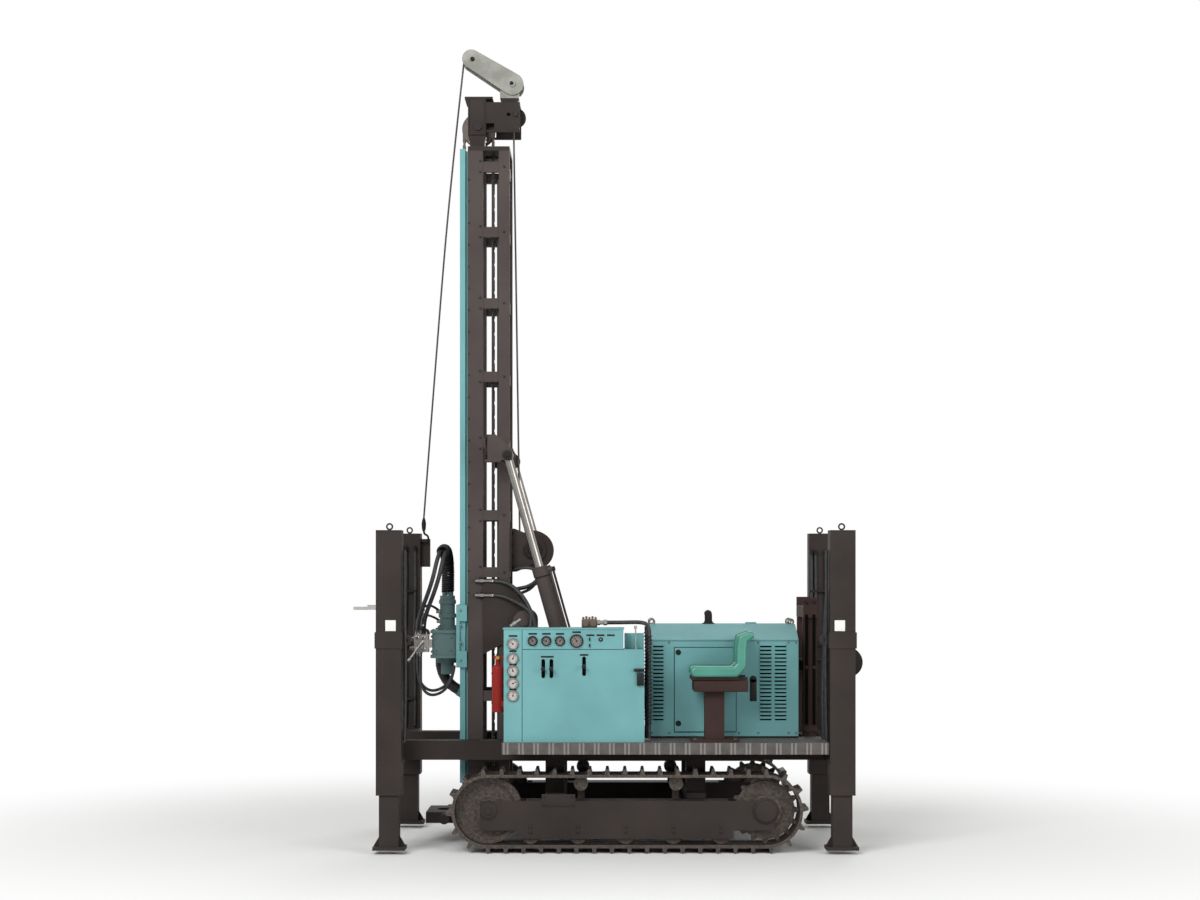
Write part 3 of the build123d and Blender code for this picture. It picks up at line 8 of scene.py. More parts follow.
import bpy
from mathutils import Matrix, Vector


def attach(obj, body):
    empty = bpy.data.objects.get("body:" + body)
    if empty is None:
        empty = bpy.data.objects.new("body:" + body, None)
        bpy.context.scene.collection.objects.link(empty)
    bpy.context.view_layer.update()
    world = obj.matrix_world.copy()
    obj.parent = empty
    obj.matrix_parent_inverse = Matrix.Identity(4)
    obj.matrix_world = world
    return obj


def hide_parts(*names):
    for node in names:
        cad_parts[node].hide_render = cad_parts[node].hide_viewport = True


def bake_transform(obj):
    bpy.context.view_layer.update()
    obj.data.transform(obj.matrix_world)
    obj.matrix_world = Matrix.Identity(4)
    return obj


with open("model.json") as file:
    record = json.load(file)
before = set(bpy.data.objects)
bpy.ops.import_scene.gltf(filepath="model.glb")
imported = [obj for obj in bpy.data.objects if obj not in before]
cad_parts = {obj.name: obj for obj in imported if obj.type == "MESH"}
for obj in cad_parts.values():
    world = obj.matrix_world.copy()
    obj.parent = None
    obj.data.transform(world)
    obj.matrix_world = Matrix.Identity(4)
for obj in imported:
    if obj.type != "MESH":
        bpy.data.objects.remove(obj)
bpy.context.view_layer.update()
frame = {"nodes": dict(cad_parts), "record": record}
NODES = frame["nodes"]
MM = 0.001


# Colours and nodes
def linear(code):
    """An sRGB hex colour as linear red, green, blue and alpha."""
    channels = [int(code[i:i + 2], 16) / 255 for i in (0, 2, 4)]
    return [c / 12.92 if c <= 0.04045 else ((c + 0.055) / 1.055) ** 2.4 for c in channels] + [1.0]


def add(tree, kind, inputs=None, stops=None, **settings):
    """Adds a node. inputs: socket to value or another node's output; stops: a ramp's places and colours."""
    node = tree.nodes.new(kind)
    for key, value in settings.items():
        setattr(node, key, value)
    for name, value in (inputs or {}).items():
        if isinstance(value, bpy.types.NodeSocket):
            tree.links.new(value, node.inputs[name])
        else:
            node.inputs[name].default_value = value
    for index, (position, colour) in enumerate(stops or ()):
        element = node.color_ramp.elements[index] if index < 2 else node.color_ramp.elements.new(position)
        element.position, element.color = position, linear(colour)
    return node


def start_finish(name, **sockets):
    """A new material: its tree, its shader with these sockets set, and the Object coordinates."""
    material = bpy.data.materials.new(name)
    material.use_nodes = True
    tree = material.node_tree
    shader = tree.nodes["Principled BSDF"]
    for socket, value in sockets.items():
        shader.inputs[socket.replace("_", " ")].default_value = value
    return material, tree, shader, add(tree, "ShaderNodeTexCoord").outputs["Object"]


def enamel(name, colour, shade, worn, roughness, wear):
    """Sprayed machine enamel: faint orange peel, slow drifts of tone, a film of dust, edges rubbed paler."""
    material, tree, shader, place = start_finish(name, Specular_IOR_Level=0.05)
    drift = add(tree, "ShaderNodeTexNoise", {"Vector": place, "Scale": 1 / (420 * MM), "Detail": 3.0})
    dust = add(tree, "ShaderNodeTexNoise", {"Vector": place, "Scale": 1 / (55 * MM), "Detail": 6.0})
    tone = add(tree, "ShaderNodeValToRGB", {"Fac": drift.outputs["Fac"]}, stops=((0.3, shade), (0.7, colour)))
    rounded = add(tree, "ShaderNodeBevel", {"Radius": 2.5 * MM}, samples=4)
    flat = add(tree, "ShaderNodeNewGeometry")
    along = add(tree, "ShaderNodeVectorMath", {
        0: rounded.outputs[0], 1: flat.outputs["Normal"]}, operation="DOT_PRODUCT")
    edge = add(tree, "ShaderNodeMapRange", {
        "Value": along.outputs["Value"], "From Min": 0.98, "From Max": 0.8, "To Max": wear})
    rubbed = add(tree, "ShaderNodeMath", {0: edge.outputs[0], 1: dust.outputs["Fac"]}, operation="MULTIPLY")
    paint = add(tree, "ShaderNodeMix", {
        0: rubbed.outputs[0], 6: tone.outputs[0], 7: linear(worn)}, data_type="RGBA")
    gloss = add(tree, "ShaderNodeMapRange", {
        "Value": dust.outputs["Fac"], "To Min": roughness - 0.08, "To Max": roughness + 0.14})
    # orange peel is about 3 mm on the real paint, drawn at 9 mm so that it shows
    grain = add(tree, "ShaderNodeTexNoise", {"Vector": place, "Scale": 1 / (9 * MM), "Detail": 1.0})
    peel = add(tree, "ShaderNodeBump", {
        "Height": grain.outputs["Fac"], "Strength": 0.05, "Distance": 0.002, "Normal": rounded.outputs[0]})
    tree.links.new(paint.outputs[2], shader.inputs["Base Color"])
    tree.links.new(gloss.outputs[0], shader.inputs["Roughness"])
    tree.links.new(peel.outputs[0], shader.inputs["Normal"])
    return material


def worked_metal(name, colour, shade, roughness, grain_mm, depth):
    """Bare worked metal: grain of this size along X, Y and Z, duller patches, edges rounded by handling."""
    material, tree, shader, place = start_finish(name, Metallic=1.0)
    drawn = add(tree, "ShaderNodeMapping", {"Vector": place, "Scale": [1 / (size * MM) for size in grain_mm]})
    grain = add(tree, "ShaderNodeTexNoise", {"Vector": drawn.outputs[0], "Scale": 1.0, "Detail": 2.0})
    patch = add(tree, "ShaderNodeTexNoise", {"Vector": place, "Scale": 1 / (130 * MM), "Detail": 4.0})
    tone = add(tree, "ShaderNodeValToRGB", {
        "Fac": patch.outputs["Fac"]}, stops=((0.35, shade), (0.68, colour)))
    gloss = add(tree, "ShaderNodeMapRange", {
        "Value": patch.outputs["Fac"], "To Min": roughness + 0.12, "To Max": roughness - 0.05})
    rounded = add(tree, "ShaderNodeBevel", {"Radius": 1.5 * MM}, samples=4)
    bump = add(tree, "ShaderNodeBump", {
        "Height": grain.outputs["Fac"], "Strength": depth, "Distance": 0.001, "Normal": rounded.outputs[0]})
    tree.links.new(tone.outputs[0], shader.inputs["Base Color"])
    tree.links.new(gloss.outputs[0], shader.inputs["Roughness"])
    tree.links.new(bump.outputs[0], shader.inputs["Normal"])
    return material


def hose_rubber(name, colour, dusty):
    """Cloth-wrapped hose rubber: near black, matt, with a fine weave and pale dust."""
    material, tree, shader, place = start_finish(name, Roughness=0.6)
    dust = add(tree, "ShaderNodeTexNoise", {"Vector": place, "Scale": 1 / (30 * MM), "Detail": 5.0})
    tone = add(tree, "ShaderNodeValToRGB", {"Fac": dust.outputs["Fac"]}, stops=((0.45, colour), (0.8, dusty)))
    # the wrap's threads are about 1 mm, drawn at 4 mm
    weave = add(tree, "ShaderNodeTexNoise", {"Vector": place, "Scale": 1 / (4 * MM), "Detail": 1.0})
    bump = add(tree, "ShaderNodeBump", {"Height": weave.outputs["Fac"], "Strength": 0.25, "Distance": 0.001})
    tree.links.new(tone.outputs[0], shader.inputs["Base Color"])
    tree.links.new(bump.outputs[0], shader.inputs["Normal"])
    return material


def moulded_plastic(name, colour, shade, roughness, shine):
    """Moulded plastic: clean, with slow drifts of tone and a fine grain from the mould."""
    material, tree, shader, place = start_finish(name, Roughness=roughness, Specular_IOR_Level=shine)
    drift = add(tree, "ShaderNodeTexNoise", {"Vector": place, "Scale": 1 / (160 * MM), "Detail": 3.0})
    tone = add(tree, "ShaderNodeValToRGB", {"Fac": drift.outputs["Fac"]}, stops=((0.3, shade), (0.7, colour)))
    grain = add(tree, "ShaderNodeTexNoise", {"Vector": place, "Scale": 1 / (3 * MM), "Detail": 1.0})
    bump = add(tree, "ShaderNodeBump", {"Height": grain.outputs["Fac"], "Strength": 0.06, "Distance": 0.001})
    tree.links.new(tone.outputs[0], shader.inputs["Base Color"])
    tree.links.new(bump.outputs[0], shader.inputs["Normal"])
    return material


def track_steel(name):
    """Rolled and cast track steel: brown black, darker in the hollows of its grit and paler on its bumps,
    rubbed bright on the edges.
    """
    material, tree, shader, place = start_finish(name, Metallic=0.6, Roughness=0.55)
    grit = add(tree, "ShaderNodeTexNoise", {"Vector": place, "Scale": 1 / (18 * MM), "Detail": 7.0})
    body = add(tree, "ShaderNodeValToRGB", {
        "Fac": grit.outputs["Fac"]}, stops=((0.3, "2A2624"), (0.8, "5A5048")))
    rounded = add(tree, "ShaderNodeBevel", {"Radius": 4 * MM}, samples=4)
    flat = add(tree, "ShaderNodeNewGeometry")
    along = add(tree, "ShaderNodeVectorMath", {
        0: rounded.outputs[0], 1: flat.outputs["Normal"]}, operation="DOT_PRODUCT")
    edge = add(tree, "ShaderNodeMapRange", {
        "Value": along.outputs["Value"], "From Min": 0.98, "From Max": 0.8})
    tone = add(tree, "ShaderNodeMix", {
        0: edge.outputs[0], 6: body.outputs[0], 7: linear("77716C")}, data_type="RGBA")
    bump = add(tree, "ShaderNodeBump", {
        "Height": grit.outputs["Fac"], "Strength": 0.35, "Distance": 0.002, "Normal": rounded.outputs[0]})
    tree.links.new(tone.outputs[2], shader.inputs["Base Color"])
    tree.links.new(bump.outputs[0], shader.inputs["Normal"])
    return material


def chequer_plate(name):
    """Painted chequer plate: raised lozenges about 38 mm apart, rubbed paler on top."""
    material, tree, shader, place = start_finish(name, Roughness=0.5)
    turned = add(tree, "ShaderNodeMapping", {
        "Vector": place, "Rotation": (0, 0, math.radians(45)), "Scale": (1 / (38 * MM),) * 3})
    split = add(tree, "ShaderNodeSeparateXYZ", {"Vector": turned.outputs[0]})
    bars = []
    for short, long in (("X", "Y"), ("Y", "X")):
        fast = add(tree, "ShaderNodeMath", {0: split.outputs[long], 1: 2 * math.pi}, operation="MULTIPLY")
        slow = add(tree, "ShaderNodeMath", {0: split.outputs[short], 1: math.pi}, operation="MULTIPLY")
        across = add(tree, "ShaderNodeMath", {0: fast.outputs[0]}, operation="COSINE")
        down = add(tree, "ShaderNodeMath", {0: slow.outputs[0]}, operation="SINE")
        bars.append(add(tree, "ShaderNodeMath", {
            0: across.outputs[0], 1: down.outputs[0]}, operation="MULTIPLY"))
    height = add(tree, "ShaderNodeMath", {0: bars[0].outputs[0], 1: bars[1].outputs[0]}, operation="MAXIMUM")
    raised = add(tree, "ShaderNodeMapRange", {"Value": height.outputs[0], "From Min": 0.45, "From Max": 0.7})
    dust = add(tree, "ShaderNodeTexNoise", {"Vector": place, "Scale": 1 / (70 * MM), "Detail": 6.0})
    base = add(tree, "ShaderNodeValToRGB", {
        "Fac": dust.outputs["Fac"]}, stops=((0.3, "332F2D"), (0.7, "4A4542")))
    tone = add(tree, "ShaderNodeMix", {
        0: raised.outputs[0], 6: base.outputs[0], 7: linear("6A6561")}, data_type="RGBA")
    bump = add(tree, "ShaderNodeBump", {"Height": raised.outputs[0], "Strength": 0.8, "Distance": 0.003})
    tree.links.new(tone.outputs[2], shader.inputs["Base Color"])
    tree.links.new(bump.outputs[0], shader.inputs["Normal"])
    return material


def gauge_glass(name):
    """Flat float glass, faintly smeared."""
    material, tree, shader, place = start_finish(name, Transmission_Weight=1.0, IOR=1.5)
    smear = add(tree, "ShaderNodeTexNoise", {"Vector": place, "Scale": 1 / (12 * MM)})
    gloss = add(tree, "ShaderNodeMapRange", {"Value": smear.outputs["Fac"], "To Min": 0.02, "To Max": 0.1})
    tree.links.new(gloss.outputs[0], shader.inputs["Roughness"])
    return material


def wire_rope(name):
    """Greased steel wire rope: dark strands laid on the slant, about 4 mm apart, drawn at 12 mm."""
    material, tree, shader, place = start_finish(name, Metallic=0.5, Roughness=0.5)
    slant = add(tree, "ShaderNodeMapping", {"Vector": place, "Rotation": (0.6, 0.6, 0)})
    # a wave comes back after 0.31 of its scale, so 38 mm gives the 12 mm
    strands = add(tree, "ShaderNodeTexWave", {
        "Vector": slant.outputs[0], "Scale": 1 / (38 * MM)}, bands_direction="Z")
    tone = add(tree, "ShaderNodeValToRGB", {
        "Fac": strands.outputs["Fac"]}, stops=((0.2, "2B2826"), (0.8, "5E5853")))
    bump = add(tree, "ShaderNodeBump", {"Height": strands.outputs["Fac"], "Strength": 0.5, "Distance": 0.002})
    tree.links.new(tone.outputs[0], shader.inputs["Base Color"])
    tree.links.new(bump.outputs[0], shader.inputs["Normal"])
    return material


TEAL = enamel("teal_machine_enamel", "69999B", "608D8F", "9DBABA", 0.5, 0.4)
CHARCOAL = enamel("charcoal_machine_enamel", "37312F", "2E2927", "5E5754", 0.5, 0.35)
MAST_GREY = enamel("warm_grey_mast_enamel", "48413F", "3E3836", "6F6864", 0.5, 0.35)
BLACK = enamel("black_chassis_enamel", "2B2827", "232120", "55504D", 0.55, 0.3)
HEAD_TEAL = enamel("oily_teal_enamel", "6A8080", "5C7272", "9AACAC", 0.4, 0.45)
BROWN = enamel("brown_oxide_primer", "3A2C29", "312523", "5E4C47", 0.55, 0.3)
RED = enamel("red_bottle_enamel", "8E2C27", "7A2420", "B7605A", 0.3, 0.3)
WHITE = enamel("white_plate_enamel", "D8D8D4", "CFCFCA", "E6E6E4", 0.45, 0.2)
STEEL = worked_metal("machined_steel", "A8A5A1", "8A8783", 0.34, (1.5, 1.5, 40.0), 0.12)
CHROME = worked_metal("hard_chrome_plate", "8A8682", "7D7975", 0.22, (0.8, 0.8, 6.0), 0.05)
ZINC = worked_metal("zinc_plated_steel", "74746F", "686863", 0.5, (14.0, 14.0, 14.0), 0.1)
BRASS = worked_metal("turned_brass", "B8944E", "9A7A3C", 0.3, (2.0, 2.0, 2.0), 0.1)
GREASED = worked_metal("greased_chain_steel", "4C4744", "3B3734", 0.45, (6.0, 6.0, 6.0), 0.2)
CAST = enamel("brown_cast_alloy", "6B5C53", "5A4D46", "8E8076", 0.5, 0.4)
IRON = track_steel("cast_track_steel")
HOSE = hose_rubber("wrapped_hose_rubber", "17171A", "343232")
GUARD = moulded_plastic("black_polyethylene_spiral", "1E1E20", "161618", 0.55, 0.25)
SEAT = moulded_plastic("moulded_seat_polypropylene", "3B7D6D", "347363", 0.34, 0.5)
# near black: knobs, switches, caps, strips and grips, and also the hood latch's recess, where it stands as
# painted shade
KNOB_AND_SHADE = moulded_plastic("black_phenolic_and_painted_shade", "131212", "0D0C0C", 0.5, 0.2)
DIAL = moulded_plastic("white_dial_card", "A9A7A3", "A09E9A", 0.7, 0.1)
GREY_DIAL = moulded_plastic("grey_dial_card", "6E6A67", "64605D", 0.7, 0.1)
# near black: the seals of the lever slots, and also painted shade behind the hood's louvres and in the mast
# rest's slots
FOAM_AND_SHADE = moulded_plastic("near_black_foam_and_painted_shade", "0B0C0C", "070808", 0.95, 0.02)
LENS = moulded_plastic("lamp_lens_acrylic", "D9D6CC", "CFCBBF", 0.15, 0.5)
PLATE = chequer_plate("painted_chequer_plate")
GLASS = gauge_glass("gauge_glass")
ROPE = wire_rope("greased_wire_rope")

SLOT_FINISH = {
    "teal_paint": TEAL, "charcoal_paint": CHARCOAL, "black_paint": BLACK, "red_paint": RED,
    "track_steel": IRON, "bare_steel": STEEL, "chrome_rod": CHROME, "galvanised_plate": ZINC,
    "seat_plastic": SEAT, "hose_rubber": HOSE, "deck_plate": PLATE,
}
# finishes that share a slot with a main one
SLOT_SHARED = {
    "teal_paint": (HEAD_TEAL,),
    "charcoal_paint": (MAST_GREY, BROWN),
    "black_paint": (CAST, FOAM_AND_SHADE, KNOB_AND_SHADE),
    "bare_steel": (GREASED, BRASS),
    "galvanised_plate": (WHITE, DIAL, GREY_DIAL, LENS, GLASS),
    "hose_rubber": (GUARD,),
    "track_steel": (ROPE,),
}
FINISH_SLOT = {finish.name: slot for slot, finish in SLOT_FINISH.items()}
FINISH_SLOT.update({finish.name: slot for slot, finishes in SLOT_SHARED.items() for finish in finishes})
# solids whose finish differs a little from the rest of their slot
OWN_FINISH = {
    MAST_GREY.name: ("mast_frame", "mast_tower", "cylinder_barrels"),
    HEAD_TEAL.name: ("head_gearbox", "head_motor", "head_spindle"),
    BROWN.name: ("mast_rest", "seat_pedestal"),
    GREASED.name: ("feed_chain", "feed_sprockets"),
}


def dress_solids():
    """Every solid takes the finish of its slot."""
    for part in frame["record"]["subparts"]:
        solid = NODES[part["node"]]
        solid.data.materials.clear()
        solid.data.materials.append(SLOT_FINISH[part["material_slot"]])
    for finish, nodes in OWN_FINISH.items():
        for node in nodes:
            NODES[node].data.materials[0] = bpy.data.materials[finish]


# Making pieces, all in millimetres in the rig's frame
def take(pieces):
    """Selects only these pieces, the first of them active."""
    bpy.ops.object.select_all(action="DESELECT")
    for piece in pieces:
        piece.select_set(True)
    bpy.context.view_layer.objects.active = pieces[0]


def settle(piece):
    """Puts a piece's place, turn and scale into its mesh."""
    take([piece])
    bpy.ops.object.transform_apply(location=True, rotation=True, scale=True)
    return piece


def block(low, high, rim):
    """A block between two corners, with its edges bevelled."""
    bpy.ops.object.select_all(action="DESELECT")
    low, high = Vector(low) * MM, Vector(high) * MM
    bpy.ops.mesh.primitive_cube_add(size=1.0, location=(low + high) / 2)
    piece = bpy.context.object
    piece.scale = high - low
    settle(piece)
    bpy.ops.object.mode_set(mode="EDIT")
    bpy.ops.mesh.select_all(action="SELECT")
    bpy.ops.mesh.bevel(offset=rim * MM, segments=2, affect="EDGES")
    bpy.ops.object.mode_set(mode="OBJECT")
    return piece


def turned(steps, foot, axis, sides=24):
    """A turned piece: a disc drawn out along an axis. steps: distance from the foot and radius, in turn."""
    bpy.ops.object.select_all(action="DESELECT")
    first, radius = steps[0]
    bpy.ops.mesh.primitive_circle_add(vertices=sides, radius=radius * MM, fill_type="NGON")
    piece = bpy.context.object
    bpy.ops.object.mode_set(mode="EDIT")
    bpy.ops.mesh.select_all(action="SELECT")
    bpy.ops.transform.translate(value=(0, 0, first * MM))
    for (low, old), (high, new) in zip(steps, steps[1:]):
        bpy.ops.mesh.extrude_region_move(TRANSFORM_OT_translate={"value": (0, 0, (high - low) * MM)})
        bpy.ops.transform.resize(value=(new / old,) * 3, center_override=(0, 0, high * MM))
    bpy.ops.mesh.select_all(action="SELECT")
    bpy.ops.mesh.normals_make_consistent(inside=False)
    bpy.ops.object.mode_set(mode="OBJECT")
    piece.rotation_euler = Vector(axis).to_track_quat("Z", "Y").to_euler()
    piece.location = Vector(foot) * MM
    return settle(piece)


def rod(start, end, radius, sides=16):
    """A round bar between two points, its ends chamfered."""
    line = Vector(end) - Vector(start)
    cut = min(0.2 * radius, 3.0)
    steps = ((0, radius - cut), (cut, radius), (line.length - cut, radius), (line.length, radius - cut))
    return turned(steps, start, line, sides)


def bolt(foot, axis, across):
    """A hexagon bolt head on its washer."""
    half, high = across / 2, 0.62 * across
    washer = turned(((0, 1.25 * half), (0.16 * across, 1.2 * half)), foot, axis, 12)
    head = turned(((0, half), (0.85 * high, half), (high, 0.8 * half)), foot, axis, 6)
    return joined([washer, head])


def tube(route, radius, name):
    """A curve along a route, drawn round, for a hose, pipe or rope."""
    curve = bpy.data.curves.new(name, "CURVE")
    curve.dimensions = "3D"
    spline = curve.splines.new("NURBS")
    spline.points.add(len(route) - 1)
    for point, at in zip(spline.points, route):
        point.co = (*(Vector(at) * MM), 1.0)
    spline.order_u = 3
    spline.use_endpoint_u = True
    spline.resolution_u = 6
    curve.bevel_depth = radius * MM
    curve.bevel_resolution = 3
    curve.use_fill_caps = True
    piece = bpy.data.objects.new(name, curve)
    bpy.context.collection.objects.link(piece)
    return piece


def hose(route, radius):
    """A hose or pipe held at both ends, as a mesh."""
    piece = tube(route, radius, "hose")
    take([piece])
    bpy.ops.object.convert(target="MESH")
    piece = bpy.context.object
    bpy.ops.object.mode_set(mode="EDIT")
    bpy.ops.mesh.select_all(action="SELECT")
    bpy.ops.mesh.remove_doubles(threshold=0.00005)
    bpy.ops.mesh.normals_make_consistent(inside=False)
    bpy.ops.object.mode_set(mode="OBJECT")
    return piece


def joined(pieces):
    """Several pieces made one."""
    take(pieces)
    bpy.ops.object.join()
    return bpy.context.object


def copies(piece, moves):
    """A piece copied to each move away from where it is, each copy with its own mesh, all joined."""
    twins = []
    for move in moves:
        twin = piece.copy()
        twin.data = piece.data.copy()
        twin.location = Vector(move) * MM
        bpy.context.collection.objects.link(twin)
        twins.append(twin)
    bpy.data.objects.remove(piece)
    return settle(joined(twins))


def mirrored(piece):
    """A piece and its likeness on the rig's other side, as one."""
    take([piece])
    mirror = piece.modifiers.new("other side", "MIRROR")
    mirror.use_axis = (False, True, False)
    mirror.use_mirror_merge = False
    bpy.ops.object.modifier_apply(modifier=mirror.name)
    bpy.ops.object.mode_set(mode="EDIT")
    bpy.ops.mesh.select_all(action="SELECT")
    bpy.ops.mesh.normals_make_consistent(inside=False)
    bpy.ops.object.mode_set(mode="OBJECT")
    return piece


def fit(piece, name, body, finish, crease=35):
    """Names a piece, gives it its finish and lets it ride on a body."""
    piece.name = name
    piece.data.materials.clear()
    piece.data.materials.append(finish)
    take([piece])
    bpy.ops.object.shade_smooth_by_angle(angle=math.radians(crease))
    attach(piece, body)
    return piece



NEAR = (0, -1, 0)
FAR = (0, 1, 0)
UP = (0, 0, 1)
DOWN = (0, 0, -1)
FRONT = (-1, 0, 0)
REAR = (1, 0, 0)


def on_circle(centre, radius, degrees):
    """A point on an upright circle seen from the console side, counted from the rear upwards."""
    turn = math.radians(degrees)
    return Vector(centre) + radius * Vector((math.cos(turn), 0, math.sin(turn)))


# Console
CONSOLE_FACE = -850.0
CONSOLE_TOP = 1594.0
DIAL_Y = -860.0
CONSOLE_SEAM_Z = 1453.0
CONSOLE_SEAM_X = -557.0
# x, z and case radius of each gauge; the tall column has bright rims, the row beside it dark ones
COLUMN_X = -622.0
COLUMN_GAUGES = tuple((COLUMN_X, z, 40.0) for z in (1492.0, 1388.0, 1300.0, 1212.0, 1124.0))
ROW_GAUGES = ((-482.0, 1513.0, 34.0), (-385.0, 1513.0, 34.0), (-288.0, 1513.0, 34.0), (-170.0, 1513.0, 46.0))
NEEDLE_TURNS = (-0.9, 0.4, -0.3, 1.2, 0.1, -0.7, -1.4, 0.8, -0.5)
GAUGE_LIP = 13.5  # from the console's face to the inner edge of a rim
# x, z and half the length of each lever's slot
SLOTS = ((-407.0, 1317.0, 55.0), (-349.0, 1317.0, 55.0), (-117.0, 1334.0, 56.0))
SLOT_HALF_WIDTH = 13.0
STRIP_HALF_HEIGHT = 6.0


def gauge_dials():
    """Dial card, ticks and needle of every gauge."""
    cards, marks = [], []
    for (x, z, radius), turn in zip(COLUMN_GAUGES + ROW_GAUGES, NEEDLE_TURNS):
        inside = radius - 7.0
        cards.append(turned(((-1.0, inside), (0.8, inside), (1.2, inside - 0.5)), (x, DIAL_Y, z), NEAR, 32))
        centre = Vector((x, DIAL_Y - 1.4, z))
        for step in range(11):
            angle = math.radians(-135 + 27 * step)
            out = Vector((math.sin(angle), 0, math.cos(angle)))
            marks.append(rod(centre + out * inside * 0.68, centre + out * inside * 0.94, 1.6, 6))
        out = Vector((math.sin(turn), 0, math.cos(turn)))
        centre = Vector((x, DIAL_Y - 2.2, z))
        marks.append(rod(centre - out * inside * 0.22, centre + out * inside * 0.8, 2.0, 6))
        marks.append(turned(((0, 6.0), (1.5, 6.0), (2.0, 5.0)), (x, DIAL_Y - 0.6, z), NEAR, 12))
    fit(joined(cards[:len(COLUMN_GAUGES)]), "column_gauge_dials", "chassis", DIAL)
    fit(joined(cards[len(COLUMN_GAUGES):]), "row_gauge_dials", "chassis", GREY_DIAL)
    fit(joined(marks), "gauge_needles_and_ticks", "chassis", KNOB_AND_SHADE)


def gauge_rim(x, z, radius):
    """The rim of a gauge, open over its dial."""
    steps = ((0, radius + 2), (3, radius + 2), (5, radius + 0.6), (16, radius + 0.6), (18, radius - 1.5),
             (18, radius - 6.5), (GAUGE_LIP, radius - 6.5))
    rim = turned(steps, (x, CONSOLE_FACE, z), NEAR, 36)
    take([rim])
    bpy.ops.object.mode_set(mode="EDIT")
    bpy.ops.mesh.select_all(action="DESELECT")
    bpy.ops.object.mode_set(mode="OBJECT")
    # the flat that would lie over the dial is taken out
    flat_y = (CONSOLE_FACE - GAUGE_LIP) * MM
    for face in rim.data.polygons:
        face.select = abs(face.center.y - flat_y) < 0.0002 and abs(face.normal.y) > 0.9
    bpy.ops.object.mode_set(mode="EDIT")
    bpy.ops.mesh.delete(type="FACE")
    bpy.ops.object.mode_set(mode="OBJECT")
    return rim


def gauge_rims():
    """Bright rims on the column of gauges, dark ones on the row."""
    for gauges, name, finish in (
            (COLUMN_GAUGES, "column_gauge_rims", CHROME), (ROW_GAUGES, "row_gauge_rims", KNOB_AND_SHADE)):
        fit(joined([gauge_rim(*gauge) for gauge in gauges]), name, "chassis", finish)


def console_panel():
    """Seams, blank strips over gauges and slots, and the dark seals of the lever slots."""
    proud, deep = CONSOLE_FACE - 1.2, CONSOLE_FACE + 2
    seams = [
        block((CONSOLE_SEAM_X, proud, CONSOLE_SEAM_Z - 2), (163, deep, CONSOLE_SEAM_Z + 2), 0.5),
        block((CONSOLE_SEAM_X - 2, proud, 800), (CONSOLE_SEAM_X + 2, deep, CONSOLE_TOP), 0.5),
    ]
    fit(joined(seams), "console_seams", "chassis", BLACK)
    # x, z and half the length of each strip
    strips = [(x, z + radius + 17, 30) for x, z, radius in COLUMN_GAUGES[:1] + ROW_GAUGES]
    strips += [(COLUMN_X, z, 26) for z in (1441, 1345, 1257, 1169)]
    strips += [(-72, 1554, 28), (0, 1554, 28), (74, 1554, 28), (-378, 1401, 46), (-117, 1414, 30)]
    plates = []
    for x, z, half in strips:
        low = (x - half, CONSOLE_FACE - 2, z - STRIP_HALF_HEIGHT)
        plates.append(block(low, (x + half, CONSOLE_FACE + 1, z + STRIP_HALF_HEIGHT), 0.8))
    fit(joined(plates), "console_blank_strips", "chassis", KNOB_AND_SHADE)
    seals = []
    for x, z, half in SLOTS:
        low = (x - SLOT_HALF_WIDTH, CONSOLE_FACE - 2, z - half)
        seals.append(block(low, (x + SLOT_HALF_WIDTH, CONSOLE_FACE + 1, z + half), 0.8))
        for end in (z - half, z + half):
            steps = ((-1, SLOT_HALF_WIDTH), (1.4, SLOT_HALF_WIDTH), (2, SLOT_HALF_WIDTH - 0.6))
            seals.append(turned(steps, (x, CONSOLE_FACE, end), NEAR, 24))
    fit(joined(seals), "lever_slot_seals", "chassis", FOAM_AND_SHADE)


def console_controls():
    """Switches, the sliding valve handle and the box under it, the valve cover and the lever caps."""
    toggles = (1525, 1482)
    switches = [block((-81, CONSOLE_FACE - 14, z - 13), (-73, CONSOLE_FACE, z + 13), 2.5) for z in toggles]
    button = (2, CONSOLE_FACE, 1524)
    switches.append(turned(((0, 15), (8, 15), (10, 13), (10, 9), (3, 9)), button, NEAR))
    cap = turned(((0, 8), (5, 8), (6, 5)), button, NEAR)
    switches.append(block((235, CONSOLE_FACE - 34, 1296), (312, CONSOLE_FACE - 14, 1318), 8))
    switches.append(rod((248, CONSOLE_FACE, 1307), (248, CONSOLE_FACE - 20, 1307), 7))
    switches.append(block((258, CONSOLE_FACE - 26, 1196), (308, CONSOLE_FACE, 1286), 5))
    fit(joined(switches), "console_switches_and_handle", "chassis", KNOB_AND_SHADE)
    fit(cap, "console_switch_button", "chassis", CHROME)
    fit(block((172, -662, CONSOLE_SEAM_Z), (311, -602, 1563), 5), "console_valve_cover", "chassis", TEAL)
    steps = ((0, 8), (6, 9), (16, 14), (30, 16), (40, 13), (44, 7))
    knobs = [turned(steps, (x, CONSOLE_FACE - 30, z), NEAR) for x, z, half in SLOTS]
    fit(joined(knobs), "lever_caps", "chassis", KNOB_AND_SHADE)


